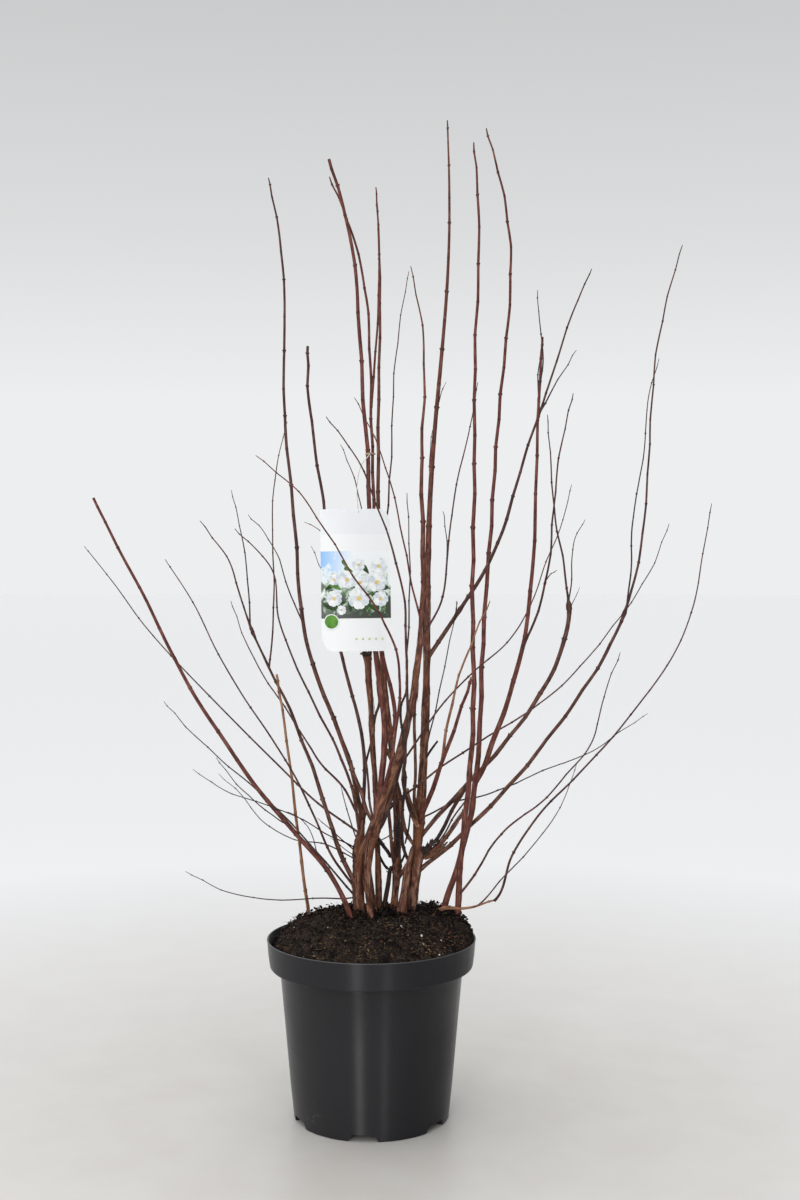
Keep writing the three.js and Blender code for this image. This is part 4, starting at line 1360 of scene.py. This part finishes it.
def card_bend(x, z):
    """How far the card's face stands forward of flat, in mm: it is bowed a little across and along."""
    across = (x - CARD_LEFT) / (CARD_RIGHT - CARD_LEFT)
    up = (z - CARD_BOTTOM) / (CARD_TOP - CARD_BOTTOM)
    return 2.2 * math.sin(math.pi * across) + 1.2 * (1 - up) ** 2


def on_card(x, z, lift=0.0):
    """A place on the card's face, which hangs a little askew."""
    middle_x, middle_z = (CARD_LEFT + CARD_RIGHT) / 2, (CARD_BOTTOM + CARD_TOP) / 2
    askew_x = x + CARD_LEAN * (middle_z - z)
    askew_z = z + CARD_LEAN * (x - middle_x)
    return np.array([askew_x * MM, (CARD_FRONT - card_bend(x, z) - lift) * MM, askew_z * MM])


def corner_inset(distance, cut):
    """How far a rounded corner takes the side in, at a distance from the card's end."""
    width, height = cut
    share = min(1.0, max(0.0, 1 - distance / height))
    return width * (1 - math.sqrt(1 - share ** 2))


def card_sheet(bottom, top, rows, columns, thickness, lift):
    """A part of the card between two heights, as a thin closed sheet."""
    points = []
    for back in (0, 1):
        for i in range(rows + 1):
            z = bottom + (top - bottom) * i / rows
            left = CARD_LEFT + corner_inset(z - CARD_BOTTOM, BOTTOM_CUT)
            right = CARD_RIGHT - corner_inset(CARD_TOP - z, TOP_CUT)
            for j in range(columns + 1):
                x = left + (right - left) * j / columns
                points.append(on_card(x, z, lift - back * thickness))
    size = (rows + 1) * (columns + 1)
    faces = []
    for i in range(rows):
        for j in range(columns):
            a = i * (columns + 1) + j
            b, c, d = a + 1, a + columns + 2, a + columns + 1
            faces.append([a, b, c, d])
            faces.append([a + size, d + size, c + size, b + size])
    edge = list(range(columns))
    edge += [i * (columns + 1) + columns for i in range(rows)]
    edge += [rows * (columns + 1) + j for j in range(columns, 0, -1)]
    edge += [i * (columns + 1) for i in range(rows, 0, -1)]
    for a, b in zip(edge, edge[1:] + edge[:1]):
        faces.append([a, a + size, b + size, b])
    return points, faces


def flat_patch(outline, lift):
    """A thin printed shape on the card, from its outline of (x, z) in mm."""
    centre = np.mean(outline, axis=0)
    points = [on_card(*centre, lift)] + [on_card(x, z, lift) for x, z in outline]
    count = len(outline)
    return points, [[0, 1 + i, 1 + (i + 1) % count] for i in range(count)]


def petal_outline(x, z, turn, length, width):
    """A broad petal with a rounded, slightly notched end."""
    outline = []
    for along, half in ((0, 0.10), (0.3, 0.34), (0.62, 0.50), (0.88, 0.42), (1.0, 0.20), (0.95, 0.0)):
        outline.append((along * length, half * width))
    outline += [(a, -h) for a, h in outline[-2::-1]]
    cos, sin = math.cos(turn), math.sin(turn)
    return [(x + a * cos - h * sin, z + a * sin + h * cos) for a, h in outline]


# Blossoms: x, z, size and turn; and leaves: x, z, length and turn. They are in mm on the card
BLOSSOMS = (
    (-50, 772, 14, 0.4), (-16, 792, 16, 0.5), (-40, 730, 12, 0.8), (12, 790, 21, 0.9),
    (-32, 772, 22, 0.1), (-50, 746, 20, 0.6), (14, 745, 19, 0.0), (-14, 768, 19, 0.7),
    (9, 768, 24, 0.3), (-16, 746, 27, 1.0))
LEAVES = (
    (-24, 732, 22, 0.6), (0, 730, 20, 2.4), (-56, 731, 19, 0.2), (20, 730, 17, 1.9),
    (-4, 738, 18, -0.5), (-34, 740, 20, 2.9), (14, 778, 13, 1.1), (-62, 758, 14, 0.6),
    (-2, 780, 16, 2.2), (14, 757, 12, 0.4), (-40, 758, 18, 2.6), (-8, 728, 18, 1.2),
    (-44, 736, 15, 1.9), (-28, 728, 16, 1.5), (2, 755, 14, -1.0), (-66, 740, 14, -0.6),
    (-24, 783, 13, 2.7), (-34, 790, 10, 2.0))


def add_blossoms(heap):
    rng = random.Random("blossoms")
    lift = 0.30
    for x, z, length, turn in LEAVES:
        heap.put(*flat_patch(petal_outline(x, z, turn, length, 0.45 * length), lift), rng.choice((0, 1)))
        lift += 0.02
    for x, z, size, turn in BLOSSOMS:
        for i in range(5):
            outline = petal_outline(x, z, turn + i * TURN / 5, 0.56 * size, 0.58 * size)
            heap.put(*flat_patch(outline, lift), 2 if i % 2 else 3)
            lift += 0.012
        heap.put(*flat_patch(disc_outline(x, z, 0.13 * size, 10), lift), 4)
        lift += 0.012


def disc_outline(x, z, radius, sides=32):
    return [(x + radius * math.cos(t), z + radius * math.sin(t)) for t in np.arange(sides) * TURN / sides]


def add_card():
    points, faces = card_sheet(CARD_BOTTOM, CARD_TOP, 160, 20, CARD_THICKNESS, 0)
    card = add_piece("label_card_sheet", points, faces, [card_finish()], "label_card")
    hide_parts("label_card")
    picture = card_sheet(PICTURE_BOTTOM, PICTURE_TOP, 24, 20, 0.2, 0.25)
    ground = add_piece("label_picture", *picture, [picture_finish()], "label_card")
    for sheet in (card, ground):
        sheet.data.set_sharp_from_angle(angle=SHARP)
    prints = Heap()
    add_blossoms(prints)
    prints.put(*flat_patch(disc_outline(-54, 714, 10.5), 0.80), 5)
    prints.put(*flat_patch(disc_outline(-54, 714, 9.3), 0.84), 6)
    for x in range(-20, 17, 9):
        prints.put(*flat_patch(disc_outline(x, 690, 1.7), 0.4), 7)
    prints.piece("label_prints", [
        speckled("print_leaf_dark", (0.012, 0.032, 0.009), (0.035, 0.080, 0.020), 160),
        speckled("print_leaf", (0.040, 0.115, 0.022), (0.110, 0.225, 0.050), 160),
        speckled("print_petal", (0.62, 0.65, 0.67), (0.78, 0.79, 0.77), 160),
        speckled("print_petal_shade", (0.44, 0.50, 0.56), (0.70, 0.72, 0.71), 160),
        speckled("print_heart", (0.50, 0.34, 0.11), (0.70, 0.56, 0.24), 300),
        speckled("print_white", (0.72, 0.74, 0.72), (0.78, 0.79, 0.78)),
        speckled("print_disc", (0.040, 0.150, 0.016), (0.105, 0.270, 0.038), 90),
        speckled("print_dots", (0.40, 0.49, 0.22), (0.52, 0.60, 0.33)),
    ], "label_card")


def ribbon(path, width, thickness):
    """A flat band along a path, its broad side to the front."""
    points = []
    for place, tangent in zip(path, unit(np.gradient(path, axis=0))):
        side = unit(np.cross(tangent, FORWARD))
        face = np.cross(side, tangent)
        for a, b in ((-1, -0.6), (0, -1), (1, -0.6), (1, 0.6), (0, 1), (-1, 0.6)):
            points.append(place + side * a * width / 2 + face * b * thickness / 2)
    return points, tube_faces(len(path), 6)


TIE_HEIGHT = 944


def add_tie(limbs):
    """A pale plastic band round two canes, and the strap that the label hangs on."""
    spots = []
    for name in ("cane_cut_tall", "cane_twin"):
        limb = limbs[name]
        i = np.abs(limb.points[:, 2] - TIE_HEIGHT * MM).argmin()
        spots.append((limb.points[i], limb.radii[i]))
    (first, radius_a), (second, radius_b) = spots
    centre = (first + second) / 2
    reach = max(radius_a, radius_b) + 0.7 * MM
    apart = second - first
    turns = np.arange(40) * TURN / 40
    loop = []
    for turn in turns:
        push = np.array([math.cos(turn), math.sin(turn), 0])
        end = first if push @ apart < 0 else second
        flat = np.array([end[0], end[1], centre[2]])
        loop.append(flat + push * reach + np.array([0, 0, 0.8 * MM * math.cos(turn)]))
    loop = np.array(loop)
    points = []
    for i, place in enumerate(loop):
        tangent = unit(loop[(i + 1) % 40] - loop[i - 1])
        out = unit(np.cross(tangent, UP))
        for a, b in ((-1, -0.5), (1, -0.5), (1, 0.5), (-1, 0.5)):
            points.append(place + UP * a * 1.1 * MM + out * b * 0.8 * MM)
    faces = [[i % len(points) for i in face] for face in tube_faces(41, 4, False)]
    heap = Heap()
    heap.put(points, faces, 0)
    front = centre + np.array([0, -reach - abs(apart[1]) / 2, 0])
    x, y, z = front / MM
    knots = np.array([
        (x, y, z), (x - 12, y - 1, z - 16), (x - 18, CARD_FRONT + 0.2, z - 42),
        (x - 17, CARD_FRONT - 1.4, CARD_TOP + 4), (x - 16, CARD_FRONT - 2.2, CARD_TOP - 5),
    ]) * MM
    path, _ = smooth_path(knots, 2.5 * MM)
    heap.put(*ribbon(path, 1.1 * MM, 0.5 * MM), 1)
    tie = heap.piece("label_strap", [
        speckled("tie_band", (0.30, 0.21, 0.13), (0.44, 0.34, 0.23), 300, Roughness=0.5),
        speckled("tie_strap", (0.44, 0.42, 0.38), (0.58, 0.56, 0.52), 80, Roughness=0.5),
    ], "label_tie")
    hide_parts("label_tie")


# ---------- Stage ----------

FLOOR_RINGS, FLOOR_SIDES = 44, 96
FLOOR_FIRST, FLOOR_GROWTH = 0.12, 1.14     # the first ring's radius in metres, and each next one's factor


def add_floor():
    mesh = bpy.data.meshes.new("floor")
    points = [(0, 0, 0)]
    for i in range(FLOOR_RINGS):
        points += [(x, y, 0) for x, y in circle(FLOOR_FIRST * FLOOR_GROWTH ** i, FLOOR_SIDES)]
    mesh.from_pydata(points, [], disc_faces(FLOOR_RINGS, FLOOR_SIDES))
    finish = Finish("floor", Roughness=0.42, Specular_IOR_Level=0.5)
    out = finish.add("ShaderNodeVectorMath", {0: finish.place()}, operation="LENGTH").outputs["Value"]
    grain = finish.range(finish.grain(9, 3), 0.35, 0.65)
    near = finish.mix(grain, (0.570, 0.548, 0.515), (0.595, 0.578, 0.545))
    finish.colour(finish.mix(finish.range(out, 0.35, 1.9), near, (0.845, 0.850, 0.860)))
    mesh.materials.append(finish.material)
    floor = in_scene("floor", mesh)


def add_area_light(name, place, target, size, power):
    data = bpy.data.lights.new(name, "AREA")
    data.shape = "RECTANGLE"
    data.size, data.size_y = size
    data.energy = power
    light = in_scene(name, data)
    light.location = place
    light.rotation_euler = (Vector(target) - Vector(place)).to_track_quat("-Z", "Y").to_euler()
    light.visible_camera = False


# The studio's brightness from the horizon to straight up: (height of the direction, grey)
SKY = ((0.0, 0.85), (0.10, 0.85), (0.20, 0.72), (0.34, 0.59), (0.50, 1.26), (1.0, 1.26))
# The room is darker to the right: where that begins and ends (sideways part of the direction), and its share
DARK_SIDE = (0.28, 0.72, 0.20)


def light_the_scene():
    world = bpy.data.worlds.new("studio")
    world.use_nodes = True
    studio = Nodes(world.node_tree)
    background = studio.tree.nodes["Background"]
    direction = studio.add("ShaderNodeTexCoord").outputs["Generated"]
    split = studio.add("ShaderNodeSeparateXYZ", {0: direction})
    greys = [(height, (grey, grey * 1.006, grey * 1.016)) for height, grey in SKY]
    studio.feed(background.inputs["Color"], studio.ramp(split.outputs["Z"], greys))
    begins, ends, share = DARK_SIDE
    studio.feed(background.inputs["Strength"], studio.range(split.outputs["X"], begins, ends, 1.0, share))
    bpy.context.scene.world = world
    add_area_light("strip_left", (-0.72, -2.75, 0.80), (0, 0, 0.35), (0.42, 1.6), 22)
    add_area_light("strip_right", (0.88, -2.70, 0.80), (0, 0, 0.35), (0.30, 1.6), 7)
    add_area_light("ceiling", (-0.4, -0.6, 3.4), (0, 0, 0.5), (2.4, 2.4), 8)
    bpy.context.scene.view_settings.view_transform = "Standard"


add_camera()
light_the_scene()
add_floor()
add_pot()
add_soil()
add_soil_fibres()
add_soil_bits()

limbs = limbs_from_frame()
join_to_parents(limbs)
add_soil_crumbs(limbs.values())
shoots = grow_shoots(limbs)
barks = make_barks()
add_limbs(limbs, shoots, barks)
every_limb = [*limbs.values(), *shoots.values()]
add_buds(every_limb, speckled("bud_scales", (0.012, 0.007, 0.006), (0.055, 0.026, 0.019), 500))
add_burrs(limbs, [
    speckled("burr_dark", (0.010, 0.007, 0.007), (0.044, 0.026, 0.022), 500),
    speckled("burr_brown", (0.034, 0.018, 0.013), (0.120, 0.062, 0.042), 500),
])
add_loose_bark(every_limb, [
    speckled("strip_brown", (0.055, 0.025, 0.016), (0.135, 0.066, 0.042), 300),
    speckled("strip_tan", (0.120, 0.060, 0.036), (0.240, 0.135, 0.085), 300),
    speckled("strip_dark", (0.028, 0.015, 0.012), (0.065, 0.034, 0.026), 300),
    # pale loose bark, its paleness partly a painted highlight
    speckled("strip_pale", (0.210, 0.105, 0.060), (0.420, 0.255, 0.180), 200),
])
add_card()
add_tie(limbs)
